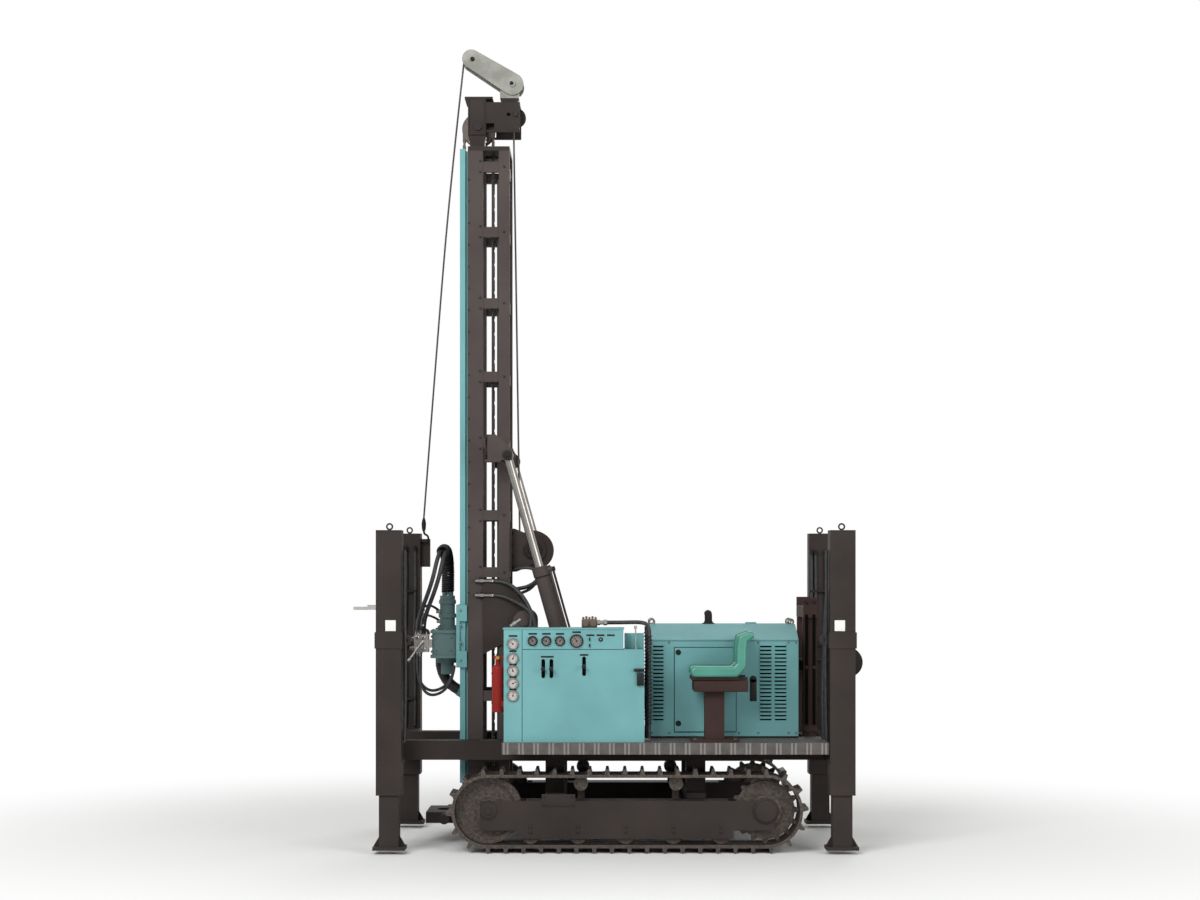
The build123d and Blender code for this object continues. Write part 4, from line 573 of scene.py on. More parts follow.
# Rotary head
HEAD_HOSE_ROUTE = (
    (-1125, 40, 1850), (-1125, 56, 1917), (-1125, 67, 1985), (-1127, 56, 2054), (-1130, 17, 2112),
    (-1134, -41, 2151), (-1140, -110, 2165), (-1148, -179, 2151), (-1158, -237, 2112), (-1170, -276, 2054),
    (-1184, -291, 1985), (-1204, -290, 1915), (-1228, -279, 1846), (-1255, -256, 1779), (-1281, -222, 1716),
    (-1301, -180, 1658), (-1313, -134, 1606), (-1317, -90, 1556),
)
HOSE_STEPS = {"first": (0, 0, 0), "second": (-44, 0, -3)}
HOSE_RADIUS = 16.0
HOSE_END = 50.0
AIR_HOSE_ROUTE = (
    (-1205, 112, 1363), (-1205, 112, 1302), (-1190, 112, 1242), (-1161, 112, 1188), (-1119, 112, 1144),
    (-1070, 112, 1113),
)
AIR_HOSE_RADIUS = 39.0
# route and radius of each thin hose between the motor, the manifold and the gearbox
THIN_HOSES = (
    (((-1212, -30, 1716), (-1262, -60, 1760), (-1328, -120, 1740), (-1352, -125, 1640),
      (-1352, -110, 1530)), 9),
    (((-1212, 30, 1640), (-1292, 30, 1690), (-1372, -30, 1660), (-1370, -75, 1600), (-1368, -80, 1530)), 9),
    (((-1340, -100, 1410), (-1342, -108, 1290), (-1336, -140, 1150), (-1262, -196, 1080), (-1150, -206, 1120),
      (-1088, -196, 1240), (-1085, -190, 1310)), 11),
    (((-1360, -80, 1410), (-1366, -90, 1310), (-1350, -110, 1180), (-1262, -150, 1110), (-1150, -170, 1150),
      (-1090, -165, 1240), (-1085, -160, 1310)), 11),
)
DRILL_X = -1147.0
GEARBOX_SIDE = 165.0
GEARBOX_FRONT = -1252.0
CARRIAGE_SIDE = 300.0


def coil(route, radius, pitch, wire):
    """A wire or strip wound round a route."""
    points = [Vector(at) for at in route]
    samples = []
    for start, end in zip(points, points[1:]):
        count = max(2, round((end - start).length / (pitch / 8)))
        samples += [start.lerp(end, step / count) for step in range(count)]
    side = (samples[1] - samples[0]).orthogonal().normalized()
    wound, run = [], 0.0
    for before, point, after in zip(samples, samples[1:], samples[2:]):
        along = (after - before).normalized()
        side = (side - along * side.dot(along)).normalized()
        run += (point - before).length
        turn = 2 * math.pi * run / pitch
        wound.append(point + radius * (side * math.cos(turn) + along.cross(side) * math.sin(turn)))
    return hose(wound, wire)


def head_hoses():
    """The two hoses of the head's motor, the spiral guard round them, the air hose's ribs, and thin hoses."""
    for name, step in HOSE_STEPS.items():
        route = [Vector(at) + Vector(step) for at in HEAD_HOSE_ROUTE]
        piece = tube(route, HOSE_RADIUS, f"{name}_head_hose_rubber")
        piece.data.materials.append(HOSE)
        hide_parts(f"head_hose_{name}")
        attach(piece, "head")
    middle = [Vector(at) + Vector(HOSE_STEPS["second"]) / 2 for at in HEAD_HOSE_ROUTE]
    fit(coil(middle[:8], 44.0, 17.0, 8.0), "head_hose_spiral_guard", "head", GUARD)
    fit(coil(AIR_HOSE_ROUTE, AIR_HOSE_RADIUS, 15.0, 4.5), "air_hose_wire_ribs", "head", GUARD)
    fit(joined([hose(route, radius) for route, radius in THIN_HOSES]), "head_thin_hoses", "head", HOSE)


def head_fittings():
    """Bright ends of the head's hoses, and the lever and ports of its valve manifold."""
    start = Vector(HEAD_HOSE_ROUTE[0]) - Vector((0, 0, HOSE_END))
    steps = ((0, 20), (22, 20), (24, 22), (46, 22), (HOSE_END, 17))
    ends = [turned(steps, start + Vector(step), UP, 6) for step in HOSE_STEPS.values()]
    steps = ((0, 15), (14, 15), (15, 12), (34, 12), (36, 10))
    ends += [turned(steps, (x, y, 1534), UP, 6) for x, y in ((-1352, -110), (-1368, -80))]
    steps = ((0, 17), (14, 17), (15, 14), (38, 14), (40, 12))
    ends += [turned(steps, (x, y, 1410), DOWN, 6) for x, y in ((-1340, -100), (-1360, -80))]
    steps = ((0, 16), (16, 16), (18, 13), (34, 13))
    ends += [turned(steps, (-1196, y, z), FRONT, 6) for y, z in ((-30, 1706), (30, 1632))]
    lever = ((0, 10), (8, 12), (60, 9), (150, 7), (160, 12), (176, 12), (180, 8))
    ends.append(turned(lever, (-1317, -205, 1486), (-0.55, -0.1, -0.75), 12))
    spool = ((0, 12), (16, 12), (18, 9), (110, 9), (112, 14), (140, 14), (144, 10))
    ends.append(turned(spool, (-1318, -150, 1600), UP, 12))
    steps = ((0, 15), (16, 15), (18, 11), (34, 11))
    ends += [turned(steps, (-1384, y, z), FRONT, 6) for y in (-125, -75) for z in (1435, 1505)]
    steps = ((0, 17), (14, 17), (16, 12), (30, 12))
    ends += [turned(steps, (x, -150, z), NEAR, 6) for x in (-1362, -1316) for z in (1430, 1515)]
    fit(joined(ends), "head_hose_fittings_and_lever", "head", CHROME)


def head_bolts():
    """Bolts of the gearbox case, the motor's flanges and the carriage."""
    case = [bolt((x, -GEARBOX_SIDE, z), NEAR, 14) for x in (-1218, -1108) for z in (1418, 1515)]
    case += [bolt((GEARBOX_FRONT, y, z), FRONT, 17) for y in (-120, 0, 120) for z in (1410, 1522)]
    # height, pitch radius and count of the bolts on each flange
    for z, radius, count in ((1596, 63, 8), (1686, 60, 6), (1790, 58, 6)):
        for step in range(count):
            turn = math.radians(360 * (step + 0.5) / count)
            case.append(bolt((DRILL_X + radius * math.cos(turn), radius * math.sin(turn), z), UP, 13))
    case += [bolt((x, y, 1570), UP, 16) for x in (-1240, -1150) for y in (-160, 160)]
    for side in (-1, 1):
        case += [bolt((-1030, side * CARRIAGE_SIDE, z), (0, side, 0), 20) for z in (1350, 1480, 1610, 1720)]
    fit(joined(case), "head_bolts", "head", HEAD_TEAL)


# Mast
RAIL_FACE = 280.0
STRUTS = (250, 640, 1090, 1560, 2000, 2420, 2950, 3440, 3980, 4505, 4985)
PIPE_Z = (760, 2800, 4900)
# x, y and radius of each pipe in the lattice
MAST_PIPES = ((-757, -200, 10), (-757, -175, 10), (-757, 200, 10), (-800, -217, 6))
FITTING_LEVELS = (1937.0, 1831.0)
TAIL_Y = -304.0
# deck end of the two hoses that cross the mast's pivot
CROSSING_Y = -425.0
WINCH_HOSES = (
    ((-470, 250, 2060), (-430, 262, 1990), (-470, 270, 1920), (-560, 262, 1880), (-680, 250, 1860)),
    ((-520, 250, 2080), (-470, 285, 1960), (-520, 290, 1880), (-600, 280, 1840), (-690, 262, 1810)),
    ((-640, -215, 2020), (-560, -245, 2040), (-480, -262, 2020), (-450, -262, 1960), (-520, -262, 1900),
     (-610, -262, 1880), (-690, -245, 1870)),
)


def mast_bolts():
    """Bolts of the guide bars, rails, chords and swing plates."""
    bolts = [bolt((-970, -RAIL_FACE, 1850 + 160 * step), NEAR, 13) for step in range(20)]
    bolts += [bolt((-885, -RAIL_FACE, z + rise), NEAR, 15) for z in STRUTS[4:] for rise in (-40, 40)]
    bolts += [bolt((-710, -RAIL_FACE, z), NEAR, 15) for z in STRUTS[4:]]
    bolts += [bolt((x, -300, z), NEAR, 26) for x in (-655, -560, -480) for z in (1440, 1540)]
    fit(mirrored(joined(bolts)), "mast_bolts", "mast", CHARCOAL)


def mast_pipes():
    """Pipes up the lattice, clamped to the cross bars and the struts."""
    lines = [hose([(x, y, z) for z in PIPE_Z], radius) for x, y, radius in MAST_PIPES]
    fit(joined(lines), "mast_pipes", "mast", HOSE)
    clamps = []
    for z in STRUTS[2:10]:
        clamps.append(block((-771, -214, z - 20), (-739, -161, z + 20), 4))
        clamps.append(block((-771, 186, z - 20), (-739, 214, z + 20), 4))
        clamps.append(block((-810, -226, z - 15), (-790, -207, z + 15), 3))
    fit(joined(clamps), "mast_pipe_clamps", "mast", ZINC)


def crown_fittings():
    """Tension screws with their nuts under the crown, and the flanges of its plates."""
    screws = []
    for x in (-968, -866):
        for y in (-58, 58):
            screws.append(rod((x, y, 5130), (x, y, 5246), 9, 12))
            screws += [turned(((0, 17), (16, 17), (18, 14)), (x, y, z), UP, 6) for z in (5136, 5200, 5224)]
    fit(joined(screws), "crown_tension_screws", "mast", STEEL)
    flanges = [block((x - 5, -158, 5246), (x + 5, -148, 5512), 2) for x in (-978, -857)]
    flanges.append(block((-846, -158, 5262), (-602, -146, 5280), 3))
    flanges.append(block((-980, -162, 5242), (-855, -146, 5256), 3))
    flanges.append(block((-984, -156, 5510), (-803, -148, 5526), 2))
    fit(mirrored(joined(flanges)), "crown_plate_flanges", "mast", CHARCOAL)


def mast_hoses():
    """Bright hose tails on the mast's near rail, hoses from them to the deck, and the winch's hoses."""
    tails, lines = [], []
    steps = ((0, 15), (30, 15), (32, 20), (62, 20), (64, 15), (100, 13), (102, 18), (128, 18), (134, 14))
    for z, drop in zip(FITTING_LEVELS, (0, 40)):
        tails.append(turned(steps, (-922, TAIL_Y, z), REAR, 6))
        tails.append(block((-905, TAIL_Y - 2, z - 16), (-880, TAIL_Y + 20, z + 16), 3))
        route = [(-792, TAIL_Y, z), (-720, -312, z - 4), (-640, -350, z - 40), (-560, -392, z - 120 + drop)]
        route += [(-500, -415, 1700), (-476 - drop, CROSSING_Y, 1600)]
        route += [(-470 - drop, CROSSING_Y, level) for level in (1420, 1240)]
        lines.append(hose(route, 14))
    fit(joined(tails), "mast_hose_tails", "mast", CHROME)
    bundle = joined(lines)
    bundle.name = "mast_to_deck_hoses"
    bundle.data.materials.clear()
    bundle.data.materials.append(HOSE)
    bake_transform(bundle)
    fit(joined([hose(route, 12) for route in WINCH_HOSES]), "winch_hoses", "mast", HOSE)


# Ropes
ROPE_RADIUS = 7.0
ROPE_PITCH = 14.4
ROPE_TURNS = 20
WINCH = (-502.0, 2163.0)
DRUM_RADIUS = 92.0
DRUM_HALF = 145.0
HOOK_X = -1385.0
HOOK_Y = 757.0
HOOK_TOP = 2420.0
JIB_SIDE = 79.0


def ropes():
    """The winch rope wound on its drum and led up to the crown, and the hoist rope from the jib."""
    centre = (WINCH[0], -DRUM_HALF, WINCH[1])
    wound = []
    for step in range(14):
        drift = Vector((0, ROPE_PITCH * step / 12, 0))
        wound.append(on_circle(centre, DRUM_RADIUS + ROPE_RADIUS, 30 * step) + drift)
    laps = copies(hose(wound, ROPE_RADIUS), [(0, ROPE_PITCH * lap, 0) for lap in range(ROPE_TURNS)])
    fit(laps, "rope_on_drum", "winch", ROPE)
    lead = hose(((-601, -100, 2172), (-612, -75, 2900), (-636, -30, 4400), (-652, 0, 5330)), ROPE_RADIUS)
    fit(lead, "winch_rope", "mast", ROPE)
    fall = ((-1022, 0, 5830), (-1140, 205, 4940), (-1262, 480, 3740), (HOOK_X, HOOK_Y, HOOK_TOP))
    fit(hose(fall, ROPE_RADIUS), "hoist_rope", "jib", ROPE)


def hook_and_jib_bolts():
    """The hook that holds the hoist rope at the front far leg, and the bolts of the jib."""
    socket = ((0, 10), (20, 16), (60, 18), (90, 12), (100, 8))
    bend = ((0, 2325), (0, 2296), (33, 2284), (37, 2246), (5, 2230), (-27, 2244), (-27, 2262))
    hook = [
        turned(socket, (HOOK_X, HOOK_Y, HOOK_TOP - 100), UP, 16),
        hose([(HOOK_X + x, HOOK_Y, z) for x, z in bend], 8),
    ]
    fit(joined(hook), "hoist_hook", "chassis", BLACK)
    jib = [bolt((x, -JIB_SIDE, z), NEAR, 30) for x, z in ((-958, 5822), (-664, 5640))]
    fit(mirrored(joined(jib)), "jib_bolts", "jib", BLACK)


def cut(piece, point, normal):
    """Cuts away what lies past a plane and closes the cut."""
    take([piece])
    bpy.ops.object.mode_set(mode="EDIT")
    bpy.ops.mesh.select_all(action="SELECT")
    bpy.ops.mesh.bisect(plane_co=Vector(point) * MM, plane_no=normal, use_fill=True, clear_outer=True)
    bpy.ops.object.mode_set(mode="OBJECT")
    return piece


# Mast cylinders
CYLINDER_Y = -505.0
CYLINDER_BASE = (-172.0, 1067.0)
CYLINDER_EYE = (-675.0, 2848.0)
LUG_FACE = -566.0


def cylinder_fittings():
    """The outer lug plate over each rod's eye, its pin, and the gland and foot ring of each barrel."""
    plate = block((-837, LUG_FACE, 2812), (-642, -552, 2998), 4)
    plate = cut(plate, (-760, 0, 2998), (0.65, 0, 0.76))
    web = block((-837, LUG_FACE, 2812), (-815, -400, 2998), 4)
    foot = block((-837, LUG_FACE, 2800), (-720, -440, 2814), 3)
    fit(mirrored(joined([plate, web, foot])), "cylinder_lug_plates", "mast", MAST_GREY)
    x, z = CYLINDER_EYE
    cap = turned(((0, 34), (12, 34), (16, 28)), (x, LUG_FACE, z), NEAR)
    fit(mirrored(joined([cap, bolt((x, -580, z), NEAR, 24)])), "cylinder_lug_pins", "mast", BLACK)
    base = Vector((CYLINDER_BASE[0], CYLINDER_Y, CYLINDER_BASE[1]))
    along = (Vector((x, CYLINDER_Y, z)) - base).normalized()
    glands = [
        turned(((0, 50.5), (4, 53), (40, 53), (44, 50.5)), base + along * 930, along, 32),
        turned(((0, 53), (6, 55), (30, 55), (36, 51)), base + along * 90, along, 32),
    ]
    fit(mirrored(joined(glands)), "cylinder_glands", "cylinder_barrels", BLACK)


# Engine hood
HOOD_SIDE = 435.0
# front and rear end of each column of louvres
LOUVRES = ((382.0, 458.0), (1162.0, 1245.0), (1270.0, 1353.0))
LOUVRE_TOPS = tuple(1468.0 - 28.0 * row for row in range(20))
LOCK_X = 566.0
LOCK = ((0, 20), (5, 20), (8, 16), (8, 13), (4, 13), (4, 8), (10, 7))
PANEL_X = (537, 988)
PANEL_Z = (837, 1453)
EXHAUST_X = 805.0


def louvres():
    """Pressed lips over the louvres, and near-black sheets behind them standing in as painted shade."""
    for number, (low, high) in enumerate(LOUVRES):
        lip = block((low - 3, -HOOD_SIDE - 11, 0), (high + 3, -HOOD_SIDE + 1, 16), 2)
        lip = cut(lip, (0, -HOOD_SIDE - 11, 5), (0, -0.75, 0.66))
        lips = copies(lip, [(0, 0, top - 4) for top in LOUVRE_TOPS])
        fit(mirrored(lips), f"louvre_lips_{number + 1}", "chassis", TEAL)
    # near-black sheets behind the louvres and across the hood's rear: painted shade where the inside of the
    # hood shows
    inside_shade = [block((low - 12, -424, 880), (high + 12, -410, 1480), 3) for low, high in LOUVRES]
    inside_shade.append(block((1420, -310, 880), (1432, 0, 1480), 3))
    fit(mirrored(joined(inside_shade)), "hood_inside_painted_shade", "chassis", FOAM_AND_SHADE)


def hood_locks():
    """Locks on the near side, the latch's recess drawn as a near-black plate of painted shade, and the locks
    of the far door.
    """
    near = [
        turned(LOCK, (LOCK_X, -441, 1417), NEAR),
        # the latch's recess: a near-black plate with a round top, painted shade standing in for the hollow
        block((1087, -438, 1060), (1138, -433, 1221), 2),
        turned(((0, 25.5), (2.5, 25.5), (3, 24)), (1112.5, -HOOD_SIDE, 1221), NEAR, 32),
        turned(LOCK, (LOCK_X, -441, 900), NEAR),
    ]
    fit(joined(near), "hood_locks_and_latch_painted_shade", "chassis", KNOB_AND_SHADE)
    far = [turned(LOCK, (LOCK_X, 447, z), FAR) for z in (900, 1390)]
    fit(joined(far), "hood_door_locks", "hood_door", KNOB_AND_SHADE)


def hood_seams():
    """The gap round the access panel, the hood's seams and its screws."""
    gap = [block((x - 2, -441.5, PANEL_Z[0] - 1), (x + 2, -434, PANEL_Z[1] + 1), 0.8) for x in PANEL_X]
    gap += [block((PANEL_X[0], -441.5, z - 2), (PANEL_X[1], -434, z + 2), 0.8) for z in PANEL_Z]
    seams = [
        block((352, -436.2, 1498), (1440, -430, 1502), 0.8),
        block((350, -437, 792), (1442, -430, 806), 2),
    ]
    fit(mirrored(joined(seams)), "hood_seams", "chassis", BLACK)
    fit(joined(gap), "hood_panel_gap", "chassis", BLACK)
    dome = turned(((0, 8), (2, 7.5), (5, 5), (6, 2)), (0, -HOOD_SIDE, 0), NEAR, 12)
    places = [(x, 0, z) for x in (372, 500, 1010, 1150, 1370, 1425) for z in (830, 1488)]
    fit(mirrored(copies(dome, places)), "hood_screws", "chassis", ZINC)


def hood_top():
    """The flange of the exhaust with its bolts, and the lifting eyes."""
    flange = [turned(((0, 46), (6, 46), (10, 34), (22, 30)), (EXHAUST_X, 0, 1614), UP, 32)]
    for turn in (0.8, 2.4, 3.9, 5.5):
        flange.append(bolt((EXHAUST_X + 38 * math.cos(turn), 38 * math.sin(turn), 1620), UP, 9))
    fit(joined(flange), "exhaust_flange", "chassis", BLACK)
    eyes = []
    for x in (380, 1412):
        eyes.append(hose([on_circle((x, -110, 1631), 20, 30 * step) for step in range(13)], 7.2))
    fit(mirrored(joined(eyes)), "hood_lifting_eyes", "chassis", ZINC)


# Legs
LEG_X = (-1501, 1716)
LEG_FACE = -915.0
LEG_INSIDE = 722.0
FRONT_LEG_HOSES = (-1552, -1520, -1452)
REAR_LEG_HOSES = (1640, 1672, 1752, 1782)
CLIP_LEVELS = (1000, 1420, 1840)


def leg_plates():
    """Blank plates and weld beads of the legs."""
    plates = [block((x, LEG_FACE - 3.5, 1585), (x + 74, LEG_FACE + 1, 1662), 1.2) for x in (-1523, 1657)]
    fit(joined(plates), "leg_blank_plates", "chassis", WHITE)
    beads = []
    for x in LEG_X:
        beads += [rod((x - 90, LEG_FACE, z), (x + 90, LEG_FACE, z), 4.5, 8) for z in (1462, 1576, 2296)]
    fit(mirrored(joined(beads)), "leg_weld_beads", "chassis", CHARCOAL)


def leg_hoses():
    """Hydraulic hoses of the four legs, with their ends and clips."""
    lines = []
    for x in FRONT_LEG_HOSES:
        lines.append(hose(((x, LEG_INSIDE, 2180), (x + 6, 716, 1900), (x - 8, 718, 1500), (x + 4, 716, 1100),
                           (x, LEG_INSIDE, 800)), 11))
    for x in REAR_LEG_HOSES:
        lines.append(hose(((x, LEG_INSIDE, 2150), (x + 6, 714, 1800), (x - 8, 718, 1500), (x + 6, 714, 1100),
                           (x, LEG_INSIDE, 800)), 12))
    for x, out in ((-1406, 12), (1621, -12)):
        for y in (-840, -805):
            route = ((x + out, y, 2160), (x + out, y, 1700), (x + 2 * out, y, 1300), (x + out, y, 800))
            lines.append(hose(route, 10))
    for y, rise in ((-560, 0), (-600, 60), (-640, 120)):
        lines.append(hose(((1606, y, 800), (1598, y + 8, 1150), (1614, y - 6, 1450),
                           (1612, y - 30, 1640 + rise / 2), (1628, -690, 1760 + rise),
                           (1640, -738, 1790 + rise)), 13))
    fit(joined(lines), "leg_hoses", "chassis", HOSE)
    tops = [(x, 2190) for x in FRONT_LEG_HOSES] + [(x, 2160) for x in REAR_LEG_HOSES]
    steps = ((0, 16), (20, 16), (22, 13), (48, 13))
    holders = [turned(steps, (x, 735, z), (0, -1, -0.3), 6) for x, z in tops]
    holders += [block((-1566, 706, z), (-1440, 737, z + 22), 3) for z in CLIP_LEVELS]
    holders += [block((1626, 704, z), (1796, 737, z + 22), 3) for z in CLIP_LEVELS]
    fit(joined(holders), "leg_hose_clips", "chassis", BLACK)


# Air line, fire bottle, seat
STEM = (251.0, -720.0)
BOTTLE_X = -736.0
# route of each hose behind the console, and the stretch of it that has a spiral guard
DECK_HOSES = (
    (((46, -670, 1640), (160, -672, 1640), (290, -674, 1644), (348, -678, 1624), (352, -684, 1500),
      (346, -690, 1300), (350, -690, 1050), (346, -680, 810)),
     ((350, -683, 1560), (346, -690, 1300), (350, -690, 1050), (347, -684, 900))),
    (((330, -648, 1612), (338, -640, 1400), (328, -640, 1150), (334, -640, 900), (332, -620, 810)),
     ((332, -645, 1570), (338, -640, 1400), (328, -640, 1150), (333, -640, 930))),
)


def air_line():
    """The air line's lubricator, its bright fittings, and the guarded hoses behind the console."""
    union = ((0, 20), (20, 20), (22, 15), (44, 15), (46, 21), (70, 21), (74, 14))
    elbow = ((0, 12), (24, 12), (26, 16), (44, 16), (48, 11), (90, 11))
    bright = [
        turned(union, (-24, -670, 1640), REAR, 6),
        turned(elbow, (-650, -640, 1612), (0.82, 0, 0.57), 6),
        rod((*STEM, CONSOLE_SEAM_Z), (*STEM, 1606), 5, 12),
        turned(((0, 10), (14, 10), (16, 6)), (*STEM, CONSOLE_SEAM_Z), UP, 6),
        turned(((0, 6), (4, 11), (18, 11), (22, 7)), (*STEM, 1596), UP, 12),
    ]
    fit(joined(bright), "air_line_fittings", "chassis", STEEL)
    body = [block((-136, -704, 1605), (-24, -636, 1664), 6)]
    for rib in range(5):
        x = -132 + 22 * rib
        body.append(block((x, -700, 1658), (x + 16, -640, 1680 + 6 * (rib % 2)), 4))
    body += [turned(((0, 20), (4, 24), (14, 24), (18, 19)), (x, -704, 1634), NEAR, 24) for x in (-108, -54)]
    body = joined(body)
    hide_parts("air_lubricator")
    fit(body, "air_line_lubricator", "chassis", CAST)
    lines = [hose(route, 15) for route, guarded in DECK_HOSES]
    coils = [coil(guarded, 18, 26, 5) for route, guarded in DECK_HOSES]
    fit(joined(lines), "air_and_oil_hoses", "chassis", HOSE)
    fit(joined(coils), "hose_spiral_guard", "chassis", GUARD)


def fire_bottle():
    """Valve, grip, hose and brackets of the fire bottle."""
    valve = [
        turned(((0, 17), (14, 17), (16, 13), (34, 13), (38, 9)), (BOTTLE_X, -725, 1378), UP, 12),
        turned(((0, 9), (16, 9), (18, 15), (24, 15)), (BOTTLE_X, -738, 1392), NEAR, 16),
    ]
    fit(joined(valve), "bottle_valve", "chassis", BRASS)
    route = ((BOTTLE_X, -705, 1394), (BOTTLE_X, -680, 1392), (-740, -672, 1340), (-744, -676, 1200),
             (-742, -680, 1080))
    handle = block((BOTTLE_X - 6, -800, 1404), (BOTTLE_X + 6, -690, 1424), 3)
    grip = [cut(handle, (0, -800, 1410), (0, -0.5, 0.86)), hose(route, 8)]
    grip += [block((-781, -745, z), (-690, -705, z + 18), 2) for z in (1060, 1270)]
    fit(joined(grip), "bottle_grip_and_hose", "chassis", KNOB_AND_SHADE)


def seat_fittings():
    """Foot bolts, slides and base box of the seat."""
    bolts = [bolt((x, y, 804), UP, 22) for x in (672, 958) for y in (-836, -545)]
    fit(joined(bolts), "seat_foot_bolts", "chassis", ZINC)
    slides = [block((664, y - 14, 1232), (1046, y + 14, 1257), 4) for y in (-822, -558)]
    fit(joined(slides), "seat_slides", "chassis", BLACK)
    fit(block((662, -846, 1150), (1052, -534, 1234), 8), "seat_base_box", "chassis", BROWN)


# Undercarriage
SHOE_COUNT = 44
WHEEL_X = (-800.0, 1180.0)
HUB_Z = 300.0
SHOE_RADIUS = 262.0  # from the wheel's centre to the outer face of the band
TRACK_FACE = -800.0


def shoe_place(run):
    """Where a shoe lies after this run along the track from the front wheel's top, and which way it faces."""
    straight, bend = WHEEL_X[1] - WHEEL_X[0], math.pi * SHOE_RADIUS
    if run < straight:
        return Vector((WHEEL_X[0] + run, 0, HUB_Z + SHOE_RADIUS)), Vector(UP)
    if straight + bend <= run < 2 * straight + bend:
        return Vector((WHEEL_X[1] - (run - straight - bend), 0, HUB_Z - SHOE_RADIUS)), Vector(DOWN)
    rear = run < straight + bend
    turn = (run - straight) / SHOE_RADIUS if rear else (run - 2 * straight - bend) / SHOE_RADIUS + math.pi
    out = Vector((math.sin(turn), 0, math.cos(turn)))
    return Vector((WHEEL_X[1] if rear else WHEEL_X[0], 0, HUB_Z)) + out * SHOE_RADIUS, out


def track_bolts():
    """Two bolts on every track shoe, hub caps on the wheels, and bolts along the side frames."""
    loop = 2 * (WHEEL_X[1] - WHEEL_X[0]) + 2 * math.pi * SHOE_RADIUS
    bolts = []
    for shoe in range(SHOE_COUNT):
        place, out = shoe_place(loop * (shoe + 0.5) / SHOE_COUNT)
        for y in (-770, -630):
            bolts.append(turned(((0, 12), (8, 12), (10, 9)), place + Vector((0, y, 0)) - out * 3, out, 6))
    fit(mirrored(joined(bolts)), "track_shoe_bolts", "chassis", IRON)
    hub = ((0, 92), (10, 92), (16, 80), (26, 76), (30, 60))
    caps = [turned(hub, (WHEEL_X[1], TRACK_FACE, HUB_Z), NEAR, 32)]
    ring = (WHEEL_X[1], TRACK_FACE - 18, HUB_Z)
    caps += [bolt(on_circle(ring, 68, 36 * step), NEAR, 14) for step in range(10)]
    idler = ((0, 60), (8, 60), (14, 50), (14, 30), (20, 26))
    caps.append(turned(idler, (WHEEL_X[0], TRACK_FACE, HUB_Z), NEAR, 32))
    caps += [bolt((x, TRACK_FACE, z), NEAR, 20) for x in (-500, -160, 180, 520, 860) for z in (150, 190)]
    caps.append(block((-420, TRACK_FACE - 6, 330), (-180, TRACK_FACE + 2, 420), 4))
    caps += [bolt((x, TRACK_FACE - 6, z), NEAR, 14) for x in (-402, -198) for z in (348, 402)]
    fit(mirrored(joined(caps)), "track_frame_fittings", "chassis", CHARCOAL)


# Far side and rear
TANK_Y = 750.0
SIGHT_X = -560.0
TANK_PIPES = (-520, -420, -200)
CLEANER = (1833.0, 1331.0)


def tank_fittings():
    """Straps, caps, sight glass, pipe ends and hoses of the tanks, with the engine's intake hose."""
    # x and top of each strap
    places = ((-480, 1400), (-160, 1400), (90, 1300), (250, 1300))
    straps = [block((x - 20, 606, 796), (x + 20, 894, top + 4), 5) for x, top in places]
    fit(joined(straps), "tank_straps", "chassis", BLACK)
    caps = []
    for x, top, radius in ((-320, 1444, 44), (170, 1338, 38)):
        steps = ((0, radius + 4), (18, radius + 8), (24, radius + 2), (26, 20), (34, 18))
        caps.append(turned(steps, (x, TANK_Y, top), UP, 12))
    caps.append(turned(((0, 30), (6, 30), (8, 22), (60, 22), (64, 16)), (SIGHT_X, TANK_Y, 1400), UP, 20))
    fit(joined(caps), "tank_caps", "chassis", KNOB_AND_SHADE)
    fit(rod((SIGHT_X, 896, 940), (SIGHT_X, 896, 1260), 9, 16), "oil_sight_glass", "chassis", GLASS)
    ends = [block((SIGHT_X - 18, 888, z), (SIGHT_X + 18, 908, z + 26), 4) for z in (916, 1258)]
    ends += [turned(((0, 22), (20, 22), (22, 17), (50, 17)), (x, 610, 880), NEAR, 6) for x in TANK_PIPES]
    fit(joined(ends), "tank_pipe_ends", "chassis", ZINC)
    lines = []
    for x in TANK_PIPES:
        lines.append(hose(((x, 562, 880), (x, 520, 880), (x + 30, 470, 860), (x + 60, 420, 812)), 16))
    lines.append(hose(((1610, 60, 1330), (1540, 60, 1330), (1480, 60, 1310), (1445, 60, 1290)), 38))
    fit(joined(lines), "tank_and_intake_hoses", "chassis", HOSE)


def cleaner_and_lamp():
    """Bands and ends of the air cleaner, and the lens of the rear lamp."""
    x, z = CLEANER
    bands = [turned(((0, 112), (2, 113), (22, 113), (24, 112)), (x, y, z), FAR, 40) for y in (-110, 86)]
    bands.append(turned(((0, 40), (2, 42), (26, 42), (28, 40)), (1448, 60, 1290), (1, 0, 0.1), 32))
    fit(joined(bands), "air_cleaner_bands", "chassis", ZINC)
    bowls = [
        turned(((0, 96), (6, 100), (20, 100), (34, 70), (36, 30)), (x, -150, z), NEAR, 40),
        turned(((0, 96), (6, 100), (20, 100), (30, 84), (32, 30)), (x, 150, z), FAR, 40),
    ]
    fit(joined(bowls), "air_cleaner_ends", "chassis", BLACK)
    lens = turned(((0, 22), (4, 22), (8, 16), (9, 6)), (1935, 825, 1786), REAR, 24)
    fit(lens, "lamp_lens", "chassis", LENS)


